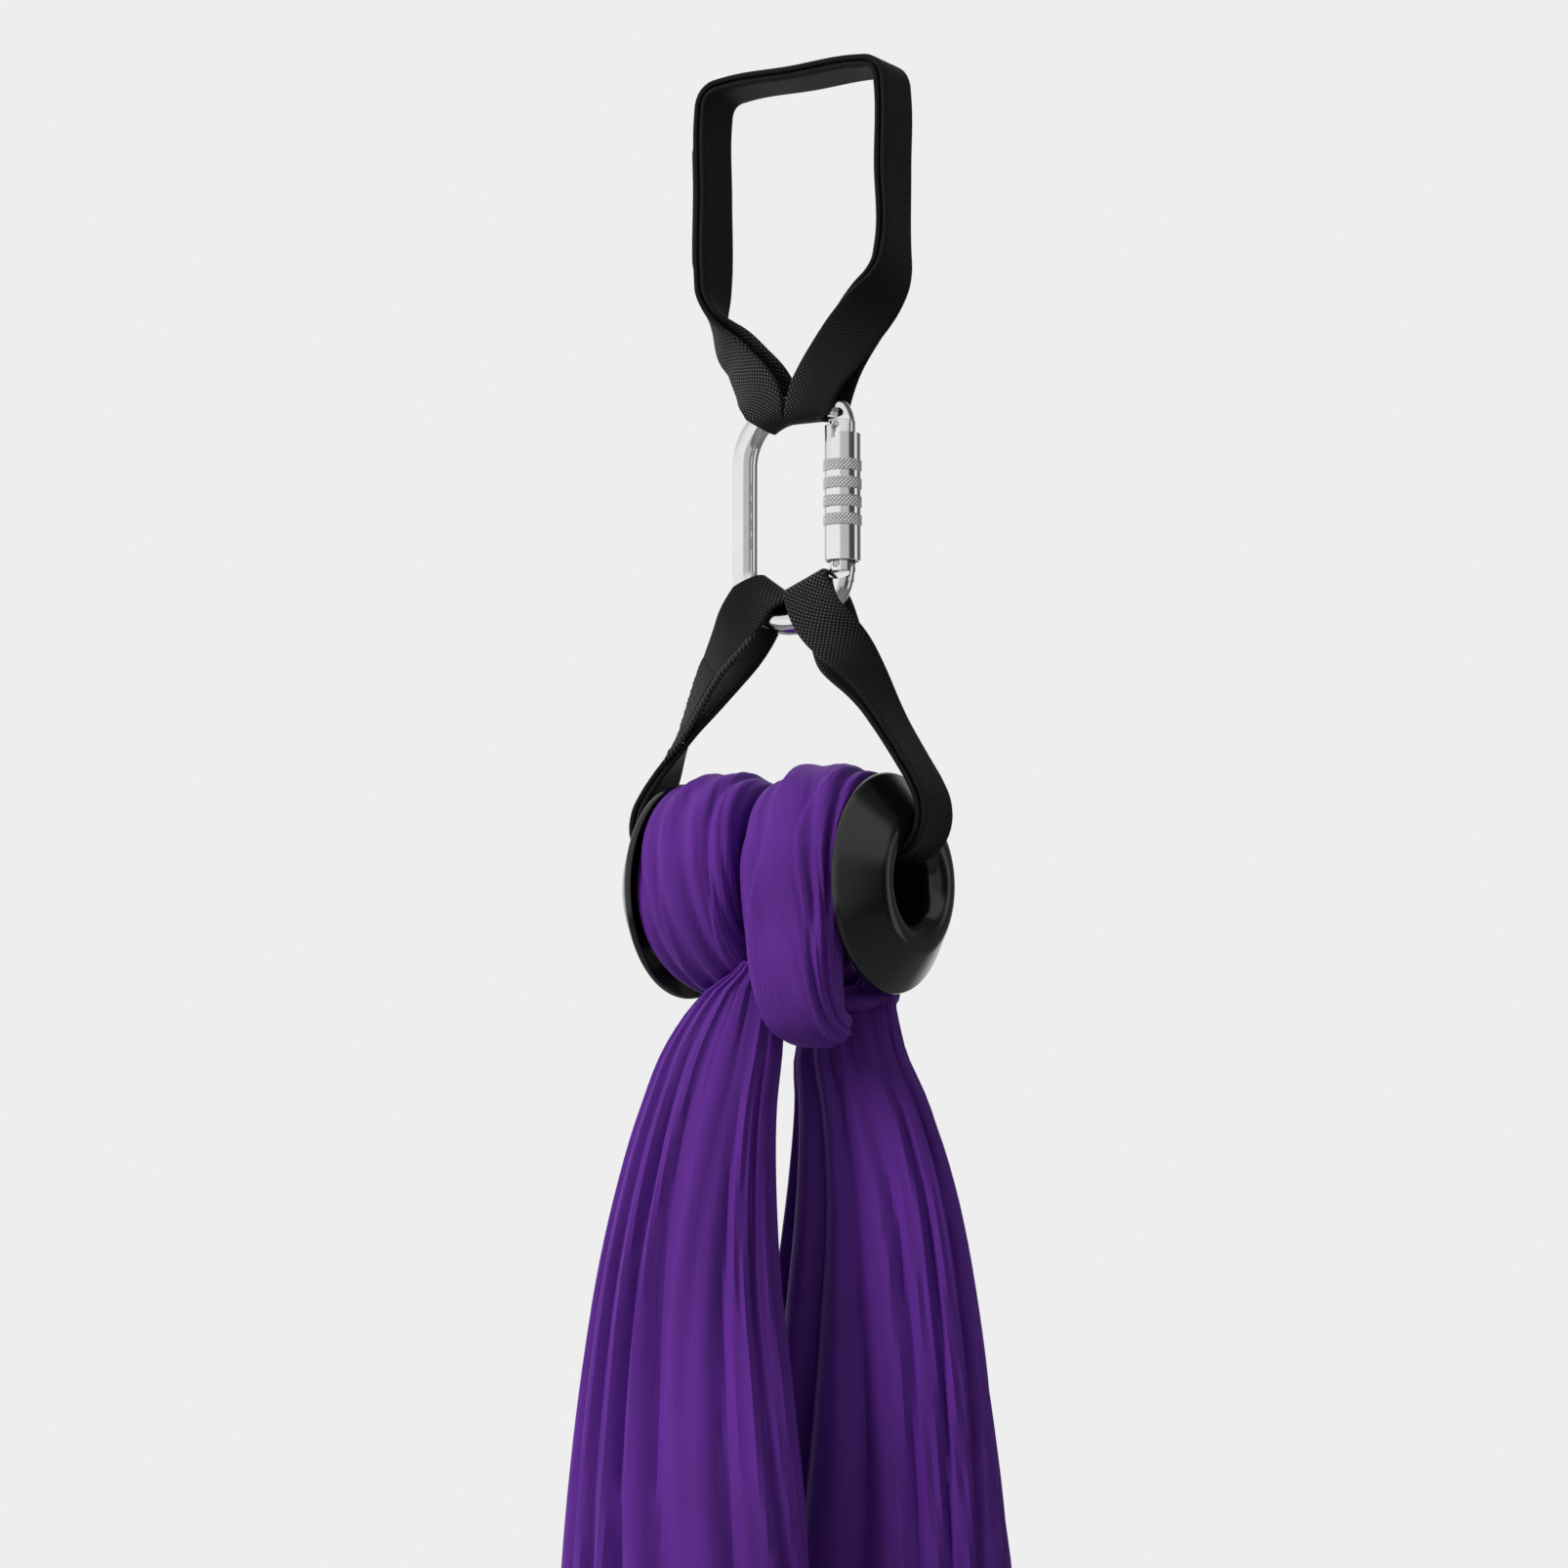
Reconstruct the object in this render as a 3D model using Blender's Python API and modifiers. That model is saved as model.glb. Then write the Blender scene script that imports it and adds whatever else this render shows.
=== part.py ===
"""Aerial silks on their rigging: a support sling, a twist-lock carabiner, a spool sling
and a spool with one long fabric hitched round it.

Metres, +Z up, +X along the spool. The origin is the middle of the face with which the
upper sling rests on its support.
"""

import math

import bmesh
import bpy
import numpy as np
from mathutils import Matrix, Vector

OBJECT_NAME = "aerial_silks"
TURN = 2 * math.pi

# Clearances, and how far a cutter runs past what it cuts
GAP = 0.0003
FIT_GAP = 0.0003
OVERRUN = 0.002
WELD = 0.00001
MERGE = 0.00001

# Support that the upper sling goes over
SUPPORT_WIDTH = 0.090
SUPPORT_HEIGHT = 0.092
SUPPORT_EDGE_RADIUS = 0.003

# The load hangs a little to one side of the support's middle
CARABINER_X = -0.0045
SPOOL_X = -0.0075

# Webbing, doubled in both slings
WEB_WIDTH = 0.025
WEB_THICKNESS = 0.0028
PLY_GAP = 0.0006
EYE_SIDE_CLEARANCE = 0.0022
EYE_SEAT_GAP = 0.0007
EYE_TAPER_LENGTH = 0.024
LEG_STEP = 0.0075
SPLICE_WIDTH = 0.023
UPPER_SPLICE = (0.075, 0.135)
LOWER_SPLICE = (0.032, 0.082)
EYE_STEPS = 10
BEND_STEP = math.radians(15)
BAR_BEND_STEP = math.radians(10)

# Upper sling's eyes on the top bow
UPPER_EYE_WIDTH = 0.0120
UPPER_EYE_LEG_WIDTH = 0.0190
UPPER_LEFT_EYE_SHARE = -0.423
UPPER_RIGHT_EYE_SHARE = 0.3385
UPPER_LEFT_EYE_TILT = math.radians(22)
UPPER_RIGHT_EYE_TILT = math.radians(4)
UPPER_NECK_LENGTH = 0.020
UPPER_NECK_RADIUS = 0.030

# Lower sling's eyes on the bottom bow, and its bend round the spool's ends
LOWER_EYE_WIDTH = 0.0235
LOWER_EYE_SHARE = 0.5077
LOWER_EYE_TILT = math.radians(39)
LOWER_NECK_LENGTH = 0.050
LOWER_NECK_RADIUS = 0.090
LOWER_BEND_X = 0.0602
LOWER_BEND_INNER_RADIUS = 0.0145
LOWER_RUN_CLEARANCE = 0.0008

# Carabiner body
BAR_RADIUS = 0.0057
HALF_WIDTH = 0.026
TOP_Z = -0.1482
BOTTOM_Z = -0.2473
SPINE_BEND_RADIUS = HALF_WIDTH
NOSE_BEND_RADIUS = 0.0115
TOE_BEND_RADIUS = 0.024
BAR_ROUNDNESS = 4
BAR_SAMPLE_STEP = 0.0005
NOSE_SHOULDER_Z = -0.1554
NOSE_ARCH_RADIUS = 0.0032
TONGUE_THICKNESS = 0.0045
TONGUE_END_Z = -0.1632
NOTCH_HEIGHT = 0.0037
NOTCH_DROP = 0.00015

# Gate: pivot, latch pin and slots
PIVOT_Z = -0.2230
GATE_STAND = 0.0001
GATE_RADIUS = BAR_RADIUS + GATE_STAND
GATE_TOP_Z = -0.1576
GATE_END_Z = -0.2265
GATE_SLOT_FLOOR_Z = -0.1641
GATE_EDGE = 0.0005
LATCH_PIN_Z = -0.1600
LATCH_PIN_RADIUS = 0.0013
RIVET_RADIUS = 0.0015
RIVET_SINK = 0.0004
RIVET_LENGTH = 2 * (GATE_RADIUS - RIVET_SINK)
TANG_RADIUS = 0.0046
TANG_ROOT_LENGTH = 0.008
SHOULDER_CLEARANCE = 0.0013
SHOULDER_RADIUS = GATE_RADIUS + SHOULDER_CLEARANCE

# Lock sleeve
SLEEVE_WALL = 0.0021
SLEEVE_BORE_RADIUS = GATE_RADIUS + FIT_GAP
SLEEVE_RADIUS = SLEEVE_BORE_RADIUS + SLEEVE_WALL
SLEEVE_TOP_Z = -0.1600
SLEEVE_END_Z = -0.2216
SLEEVE_STEP_Z = -0.1638
SLEEVE_EDGE = 0.0005
SLEEVE_SLOT_WIDTH = 0.0016
SLEEVE_SLOT_END_Z = -0.1664
SLEEVE_COUNTERBORE_STEP = 0.0011
SLEEVE_COUNTERBORE_RADIUS = SLEEVE_BORE_RADIUS + SLEEVE_COUNTERBORE_STEP
SLEEVE_COUNTERBORE_DEPTH = 0.0030
BAND_STAND = 0.0006
BAND_RADIUS = SLEEVE_RADIUS + BAND_STAND
BAND_HEIGHT = 0.0053
BAND_PITCH = 0.00825
BAND_TOP_Z = -0.1757
BAND_EDGE = 0.0004
BAND_COUNT = 4

# Sleeve's spring, guide pin and retaining ring
SPRING_SEAT_DEPTH = 0.0013
SPRING_SEAT_RADIUS = GATE_RADIUS - SPRING_SEAT_DEPTH
SPRING_SEAT_TOP_Z = -0.1900
SPRING_SEAT_END_Z = -0.2140
SLEEVE_SPRING_WIRE = 0.0004
SLEEVE_SPRING_TURNS = 6
GUIDE_PIN_Z = -0.1840
GUIDE_PIN_RADIUS = 0.0010
GUIDE_PIN_INNER_Y = 0.0030
GUIDE_PIN_REACH = 0.0013
GUIDE_GROOVE_DEPTH = 0.00165
GUIDE_GROOVE_START = math.radians(-12)
GUIDE_GROOVE_END = math.radians(102)
RING_GROOVE_DEPTH = 0.0006
RING_GROOVE_RADIUS = GATE_RADIUS - RING_GROOVE_DEPTH
RING_THICKNESS = 0.0010
RING_TOP_Z = -0.2192
RING_OUTER_RADIUS = SLEEVE_COUNTERBORE_RADIUS - FIT_GAP

# Gate's return spring and its plunger
SPRING_BORE_RADIUS = 0.0022
SPRING_BORE_TOP_Z = -0.2000
GATE_SPRING_WIRE = 0.0003
GATE_SPRING_TURNS = 5
PLUNGER_RADIUS = 0.0018
PLUNGER_LENGTH = 0.0056

# Spool
SPOOL_Z = -0.3670
CORE_RADIUS = 0.0250
CORE_INNER_RADIUS = 0.0215
CORE_HALF_LENGTH = 0.0505
BORE_RADIUS = 0.0175
SPIGOT_LENGTH = 0.0080
LIP_RADIUS = 0.0095
LIP_CENTRE_X = 0.0600
RIM_RADIUS = 0.0490
RIM_X = 0.0553
RIM_THICKNESS = 0.0030
RIM_EDGE = 0.0008
HUB_STEP_X = 0.0610
WALL_THICKNESS = 0.0030

# Hitched fabric round the spool
ROPE_THICKNESS = 0.0240
ROPE_WIDTH = 0.0490
ROPE_FOLDS = 8
ROPE_FOLD_SHARE = 0.055
ROPE_SIDES = 24
TURN_STEPS = 24
COIL_ANGLES = (math.radians(-112), 0, math.radians(90), math.radians(243),
               math.radians(360), math.radians(450))
COIL_XS = (-0.0305, -0.0310, -0.0272, 0.0228, 0.0245, 0.0280)
BIGHT_XS = (0.0278, 0.0272, 0.0272, 0.0272, 0.0268, 0.0260, 0.0250)
BIGHT_YS = (-0.0378, -0.0366, -0.0325, -0.0260, -0.0185, -0.0120, -0.0080)
BIGHT_ZS = (-0.0190, -0.0370, -0.0510, -0.0600, -0.0635, -0.0625, -0.0580)
BIGHT_SIZE_SHARES = (0.94, 0.87, 0.83, 0.78, 0.70, 0.62, 0.55)

# Tails: one fabric hangs as two gathered lengths
FABRIC_LENGTH = 4.50
FABRIC_IN_HITCH = 0.82
TAIL_THICKNESS = 0.0020
TAIL_FRONT_DROP = 0.0499
TAIL_BACK_DROP = 0.0490
TAIL_HALF_WIDTH = 0.0240
TAIL_FULL_HALF_WIDTH = 0.0700
TAIL_SPREAD_LENGTH = 0.165
TAIL_HEM_SPREAD = 0.0260
TAIL_TOP_HALF_DEPTH = 0.0110
TAIL_FULL_HALF_DEPTH = 0.0300
TAIL_TOP_X = 0.0150
TAIL_FULL_X = 0.0345
TAIL_APART_LENGTH = 0.045
TAIL_MIDDLE_CLEARANCE = 0.0030
TAIL_FOLDS = 8
TAIL_FOLD_DEPTH = 0.0040
TAIL_OPENING = math.radians(70)
TAIL_COLUMNS = 40
TAIL_ROWS = 12
TAIL_ROW_POWER = 1.9
TAIL_HEM_DEPTH_SHARE = 0.33
TAIL_FOLD_TURN_SHARE = 0.33
TAIL_TOP_FOLD_SHARE = 0.50

HALF_PLY = (WEB_THICKNESS + PLY_GAP) / 2
EYE_INNER_RADIUS = BAR_RADIUS + EYE_SIDE_CLEARANCE
EYE_RADIUS = EYE_INNER_RADIUS + WEB_THICKNESS / 2
TAIL_LENGTH = (FABRIC_LENGTH - FABRIC_IN_HITCH) / 2
SEAM_OFFSET = HALF_PLY + WEB_THICKNESS / 2
UPPER_SWING_Z = TOP_Z - BAR_RADIUS
LOWER_SWING_Z = BOTTOM_Z + BAR_RADIUS
LIP_CENTRE_RHO = BORE_RADIUS + LIP_RADIUS


def clear_scene():
    """Remove whatever the file holds, so that only this part is in it."""
    for obj in list(bpy.data.objects):
        bpy.data.objects.remove(obj)


def new_collection(name):
    collection = bpy.data.collections.new(name)
    bpy.context.scene.collection.children.link(collection)
    return collection


def new_material(name, colour, roughness, metallic=0.0):
    material = bpy.data.materials.new(name)
    material.use_nodes = True
    shader = material.node_tree.nodes["Principled BSDF"]
    shader.inputs["Base Color"].default_value = (*colour, 1)
    shader.inputs["Roughness"].default_value = roughness
    shader.inputs["Metallic"].default_value = metallic
    material.diffuse_color = (*colour, 1)
    return material


def object_from(name, bm):
    """Turn a bmesh into an object in the part's collection."""
    data = bpy.data.meshes.new(name)
    bm.to_mesh(data)
    bm.free()
    obj = bpy.data.objects.new(name, data)
    PARTS.objects.link(obj)
    return obj


def as_cutter(obj):
    PARTS.objects.unlink(obj)
    CUTTERS.objects.link(obj)
    obj.hide_render = True
    obj.display_type = "WIRE"
    return obj


def finish(obj, material, smooth_angle=None):
    obj.data.materials.clear()
    obj.data.materials.append(material)
    if smooth_angle is not None:
        obj.data.shade_smooth()
        obj.data.set_sharp_from_angle(angle=smooth_angle)
    return obj


def box(name, low, high):
    """A closed box between two corners."""
    low, high = Vector(low), Vector(high)
    bm = bmesh.new()
    bmesh.ops.create_cube(bm, size=1)
    bmesh.ops.scale(bm, vec=high - low, verts=bm.verts)
    bmesh.ops.translate(bm, vec=(low + high) / 2, verts=bm.verts)
    return object_from(name, bm)


def rod(name, centre, radius, length, axis="Z", segments=24):
    """A closed cylinder about its centre."""
    bm = bmesh.new()
    bmesh.ops.create_cone(bm, cap_ends=True, segments=segments, radius1=radius,
                          radius2=radius, depth=length)
    turns = {"X": Matrix.Rotation(math.pi / 2, 3, "Y"), "Z": Matrix.Identity(3),
             "Y": Matrix.Rotation(math.pi / 2, 3, "X")}
    bmesh.ops.rotate(bm, matrix=turns[axis], verts=bm.verts)
    bmesh.ops.translate(bm, vec=centre, verts=bm.verts)
    return object_from(name, bm)


def turned(name, profile, steps, closed=True, angle=TURN):
    """A profile of radius and height turned about Z; its outer side runs downwards."""
    bm = bmesh.new()
    corners = [bm.verts.new((radius, 0, height)) for radius, height in profile]
    for start, end in zip(corners, corners[1:]):
        bm.edges.new((start, end))
    if closed:
        bm.edges.new((corners[-1], corners[0]))
    obj = object_from(name, bm)
    screw = obj.modifiers.new("turn", "SCREW")
    screw.angle = angle
    screw.steps = steps
    screw.render_steps = steps
    screw.use_merge_vertices = True
    screw.merge_threshold = MERGE
    return obj


def boolean(target, tool, operation="DIFFERENCE"):
    modifier = target.modifiers.new(tool.name, "BOOLEAN")
    modifier.operation = operation
    modifier.solver = "EXACT"
    modifier.object = tool


def evaluated_mesh(obj):
    graph = bpy.context.evaluated_depsgraph_get()
    return bpy.data.meshes.new_from_object(obj.evaluated_get(graph))


def tube(name, points, radius, resolution):
    """A round bar or wire along points, as a mesh with welded caps."""
    data = bpy.data.curves.new(name + "_route", "CURVE")
    data.dimensions = "3D"
    data.bevel_depth = radius
    data.bevel_resolution = resolution
    data.use_fill_caps = True
    spline = data.splines.new("POLY")
    spline.points.add(len(points) - 1)
    for knot, point in zip(spline.points, points):
        knot.co = (*point, 1)
    route = bpy.data.objects.new(name + "_route", data)
    PARTS.objects.link(route)
    mesh = evaluated_mesh(route)
    place = route.matrix_world.copy()
    bpy.data.objects.remove(route)
    bm = bmesh.new()
    bm.from_mesh(mesh)
    bmesh.ops.remove_doubles(bm, verts=bm.verts, dist=WELD)
    bmesh.ops.recalc_face_normals(bm, faces=bm.faces)
    obj = object_from(name, bm)
    obj.matrix_world = place
    bpy.data.meshes.remove(mesh)
    return obj


def bent_grid(name, columns, rows, place, welded=False):
    """A grid whose vertex in column i and row j is moved to place(i, j)."""
    bm = bmesh.new()
    bmesh.ops.create_grid(bm, x_segments=columns, y_segments=rows, size=1)
    for vert in bm.verts:
        column = round((vert.co.x + 1) / 2 * columns)
        row = round((vert.co.y + 1) / 2 * rows)
        vert.co = place(column, row)
    if welded:
        bmesh.ops.remove_doubles(bm, verts=bm.verts, dist=WELD)
    return object_from(name, bm)


def thicken(obj, thickness):
    solid = obj.modifiers.new("thickness", "SOLIDIFY")
    solid.thickness = thickness
    solid.offset = 0
    solid.use_even_offset = True


def smoothstep(value, low, high):
    share = min(max((value - low) / (high - low), 0), 1)
    return share * share * (3 - 2 * share)


def arc(centre, radius, start, end, step=BEND_STEP):
    """Points of an arc in a plane, from one angle to another."""
    count = max(1, math.ceil(abs(end - start) / step - WELD))
    angles = [start + (end - start) * index / count for index in range(count + 1)]
    return [Vector((centre[0] + radius * math.cos(angle),
                    centre[1] + radius * math.sin(angle))) for angle in angles]


def bar_route():
    """The bar's centre line in X and Z, from the gate's pivot round to the nose."""
    toe = (HALF_WIDTH - TOE_BEND_RADIUS, BOTTOM_Z + TOE_BEND_RADIUS)
    heel = (SPINE_BEND_RADIUS - HALF_WIDTH, BOTTOM_Z + SPINE_BEND_RADIUS)
    head = (SPINE_BEND_RADIUS - HALF_WIDTH, TOP_Z - SPINE_BEND_RADIUS)
    nose = (HALF_WIDTH - NOSE_BEND_RADIUS, TOP_Z - NOSE_BEND_RADIUS)
    route = arc(toe, TOE_BEND_RADIUS, 0, -math.pi / 2, BAR_BEND_STEP)
    route += arc(heel, SPINE_BEND_RADIUS, -math.pi / 2, -math.pi, BAR_BEND_STEP)
    route += arc(head, SPINE_BEND_RADIUS, math.pi, math.pi / 2, BAR_BEND_STEP)
    route += arc(nose, NOSE_BEND_RADIUS, math.pi / 2, 0, BAR_BEND_STEP)
    clean = [route[0]]
    for point in route[1:]:
        if (point - clean[-1]).length > WELD:
            clean.append(point)
    return clean


def bow_point(x, upper):
    """The bar's centre on the top or bottom bow at x."""
    right_radius = NOSE_BEND_RADIUS if upper else TOE_BEND_RADIUS
    left = SPINE_BEND_RADIUS - HALF_WIDTH
    right = HALF_WIDTH - right_radius
    inset = 0
    if x < left:
        inset = SPINE_BEND_RADIUS - math.sqrt(SPINE_BEND_RADIUS ** 2 - (left - x) ** 2)
    if x > right:
        inset = right_radius - math.sqrt(right_radius ** 2 - (x - right) ** 2)
    return Vector((x, TOP_Z - inset if upper else BOTTOM_Z + inset))


def bar_inner_side():
    """Points along the side of the bar that faces the inside of the carabiner."""
    route = bar_route()
    inner = []
    for start, end in zip(route, route[1:]):
        along = (end - start).normalized()
        inward = Vector((along.y, -along.x)) * BAR_RADIUS
        count = math.ceil((end - start).length / BAR_SAMPLE_STEP)
        inner += [start.lerp(end, index / count) + inward for index in range(count)]
    return inner


def eye_frame(x, tilt, upper, width):
    """The centre of an eye's round end, and the way from it to the leg."""
    side = math.copysign(1, x)
    up = 1 if upper else -1
    away = Vector((side * math.sin(tilt), up * math.cos(tilt)))
    across = Vector((away.y, -away.x))
    bar = bow_point(x, upper)
    reach = 0
    for point in bar_inner_side():
        offset = point - bar
        if abs(offset.dot(across)) < width / 2 and offset.length < HALF_WIDTH:
            reach = max(reach, -offset.dot(away))
    centre = bar - away * (reach + EYE_SEAT_GAP - EYE_INNER_RADIUS)
    return centre, away


def rounded(corners, radii, legs):
    """A route through corners in X and Z with round bends; legs get close points."""
    points = [corners[0]]
    for index in range(1, len(corners) - 1):
        before = (corners[index - 1] - corners[index]).normalized()
        after = (corners[index + 1] - corners[index]).normalized()
        half = before.angle(after) / 2
        radius = radii[index - 1]
        centre = corners[index] + (before + after).normalized() * radius / math.sin(half)
        start = corners[index] + before * radius / math.tan(half)
        end = corners[index] + after * radius / math.tan(half)
        first = math.atan2(start.y - centre.y, start.x - centre.x)
        turn = (start - centre).angle_signed(end - centre)
        bend = arc(centre, radius, first, first - turn)
        if index - 1 in legs:
            count = max(1, round((start - points[-1]).length / LEG_STEP))
            last = points[-1]
            points += [last.lerp(start, step / count) for step in range(1, count)]
        points += bend
    if len(corners) - 2 in legs:
        count = max(1, round((corners[-1] - points[-1]).length / LEG_STEP))
        last = points[-1]
        points += [last.lerp(corners[-1], step / count) for step in range(1, count)]
    points.append(corners[-1])
    return points


def sling_stations(route, outward, left_turn, leg_length, eye_leg_width):
    """Places along a doubled sling: its middle, the way out, the way along, half the
    distance between its plies, its width and the distance from its left eye.

    Each leg turns a quarter on its way to its eye. The right leg's outer ply turns to
    the front, and so does the left leg's where LEFT_TURN is 1; -1 turns it to the back."""
    lengths = [0]
    for start, end in zip(route, route[1:]):
        lengths.append(lengths[-1] + (end - start).length)
    stations = []
    for index, point in enumerate(route):
        before = route[max(index - 1, 0)]
        after = route[min(index + 1, len(route) - 1)]
        along = (after - before).normalized()
        plane_normal = Vector((-along.y, along.x)) * outward
        from_end = min(lengths[index], lengths[-1] - lengths[index])
        twist = 1 - smoothstep(from_end, EYE_TAPER_LENGTH / 2, leg_length)
        turn = left_turn if lengths[index] < lengths[-1] / 2 else 1
        angle = turn * twist * math.pi / 2
        normal = Vector((plane_normal.x * math.cos(angle), -math.sin(angle),
                         plane_normal.y * math.cos(angle)))
        tangent = Vector((along.x, 0, along.y))
        spread = 1 - smoothstep(from_end, EYE_RADIUS / 2, EYE_TAPER_LENGTH)
        half_gap = HALF_PLY + (EYE_RADIUS - HALF_PLY) * spread
        gathered = 1 - smoothstep(from_end, 0, EYE_TAPER_LENGTH)
        width = WEB_WIDTH - (WEB_WIDTH - eye_leg_width) * gathered
        stations.append((Vector((point.x, 0, point.y)), normal, tangent, half_gap, width,
                         lengths[index]))
    return stations


def sling(name, stations, eye_width):
    """A doubled webbing loop: two plies and a round eye at each end."""
    ring = []
    for middle, normal, tangent, half_gap, width, length in stations:
        ring.append((middle + normal * half_gap, tangent.cross(normal), width))
    ring += eye_turn(stations[-1], 1, eye_width)
    for middle, normal, tangent, half_gap, width, length in reversed(stations):
        ring.append((middle - normal * half_gap, tangent.cross(normal), width))
    ring += eye_turn(stations[0], -1, eye_width)

    def place(column, row):
        centre, across, width = ring[column % len(ring)]
        return centre + across * width * (row - 1 / 2)

    obj = bent_grid(name, len(ring), 1, place, welded=True)
    thicken(obj, WEB_THICKNESS)
    return obj


def splice(name, stations, span):
    """The sewn overlap that closes a sling's loop, on its outer ply."""
    strip = [station for station in stations if span[0] <= station[-1] <= span[1]]

    def place(column, row):
        middle, normal, tangent, half_gap, width, length = strip[column]
        out = half_gap + WEB_THICKNESS + GAP
        return middle + normal * out + tangent.cross(normal) * SPLICE_WIDTH * (row - 1 / 2)

    obj = bent_grid(name, len(strip) - 1, 1, place)
    thicken(obj, WEB_THICKNESS)
    return obj


def eye_turn(station, direction, eye_width):
    """Stations round an eye's half turn, narrower where the webbing is gathered."""
    middle, normal, tangent, half_gap, leg_width, length = station
    turn = []
    for index in range(1, EYE_STEPS):
        angle = math.pi * index / EYE_STEPS
        offset = normal * math.cos(angle) * direction + tangent * math.sin(angle) * direction
        width = leg_width - (leg_width - eye_width) * math.sin(angle)
        turn.append((middle + offset * half_gap, tangent.cross(normal), width))
    return turn


def upper_sling():
    """The sling over the support, down both sides and in to the top bow."""
    side_x = SUPPORT_WIDTH / 2 + SEAM_OFFSET
    bend = SUPPORT_EDGE_RADIUS + SEAM_OFFSET
    left_eye, left_away = eye_frame(UPPER_LEFT_EYE_SHARE * HALF_WIDTH, UPPER_LEFT_EYE_TILT,
                                    True, UPPER_EYE_WIDTH)
    right_eye, right_away = eye_frame(UPPER_RIGHT_EYE_SHARE * HALF_WIDTH, UPPER_RIGHT_EYE_TILT,
                                      True, UPPER_EYE_WIDTH)
    for eye in (left_eye, right_eye):
        eye.x += CARABINER_X
    left_neck = left_eye + left_away * UPPER_NECK_LENGTH
    right_neck = right_eye + right_away * UPPER_NECK_LENGTH
    rise = -SUPPORT_HEIGHT + SUPPORT_EDGE_RADIUS
    lean = math.atan2(side_x - right_neck.x, rise - right_neck.y)
    foot_z = rise - bend * math.tan(lean / 2)
    corners = [left_eye, left_neck, Vector((-side_x, foot_z)), Vector((-side_x, SEAM_OFFSET)),
               Vector((side_x, SEAM_OFFSET)), Vector((side_x, foot_z)), right_neck, right_eye]
    radii = [UPPER_NECK_RADIUS, bend, bend, bend, bend, UPPER_NECK_RADIUS]
    route = rounded(corners, radii, (0, 1, 2, 5, 6))
    leg_length = UPPER_NECK_LENGTH + (Vector((side_x, foot_z)) - right_neck).length - bend
    stations = sling_stations(route, 1, -1, leg_length, UPPER_EYE_LEG_WIDTH)
    return (sling("upper_sling", stations, UPPER_EYE_WIDTH),
            splice("upper_sling_splice", stations, UPPER_SPLICE))


def lower_sling():
    """The sling from the bottom bow, down round both lips and through the spool."""
    inner_top = math.sqrt(BORE_RADIUS ** 2 - (WEB_WIDTH / 2) ** 2) - LOWER_RUN_CLEARANCE
    run_z = SPOOL_Z + inner_top - SEAM_OFFSET
    bend = LOWER_BEND_INNER_RADIUS + SEAM_OFFSET
    centre = Vector((LOWER_BEND_X, run_z + bend))
    eye_x = LOWER_EYE_SHARE * HALF_WIDTH
    eye, away = eye_frame(eye_x, LOWER_EYE_TILT, False, LOWER_EYE_WIDTH)
    left_eye, left_away = eye_frame(-eye_x, LOWER_EYE_TILT, False, LOWER_EYE_WIDTH)
    for end in (left_eye, eye):
        end.x += CARABINER_X - SPOOL_X
    neck = eye + away * LOWER_NECK_LENGTH
    left_neck = left_eye + left_away * LOWER_NECK_LENGTH
    knees = []
    for start in (Vector((-left_neck.x, left_neck.y)), neck):
        offset = start - centre
        lean = math.atan2(offset.y, offset.x) - math.acos(bend / offset.length)
        knees.append(centre.x + bend * math.tan(math.pi / 4 + lean / 2))
    corners = [left_eye, left_neck, Vector((-knees[0], run_z)), Vector((knees[1], run_z)),
               neck, eye]
    radii = [LOWER_NECK_RADIUS, bend, bend, LOWER_NECK_RADIUS]
    route = rounded(corners, radii, (0, 1, 3, 4))
    leg_length = LOWER_NECK_LENGTH + (neck - centre).length
    stations = sling_stations(route, -1, 1, leg_length, WEB_WIDTH)
    return (sling("lower_sling", stations, LOWER_EYE_WIDTH),
            splice("lower_sling_splice", stations, LOWER_SPLICE))


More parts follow.
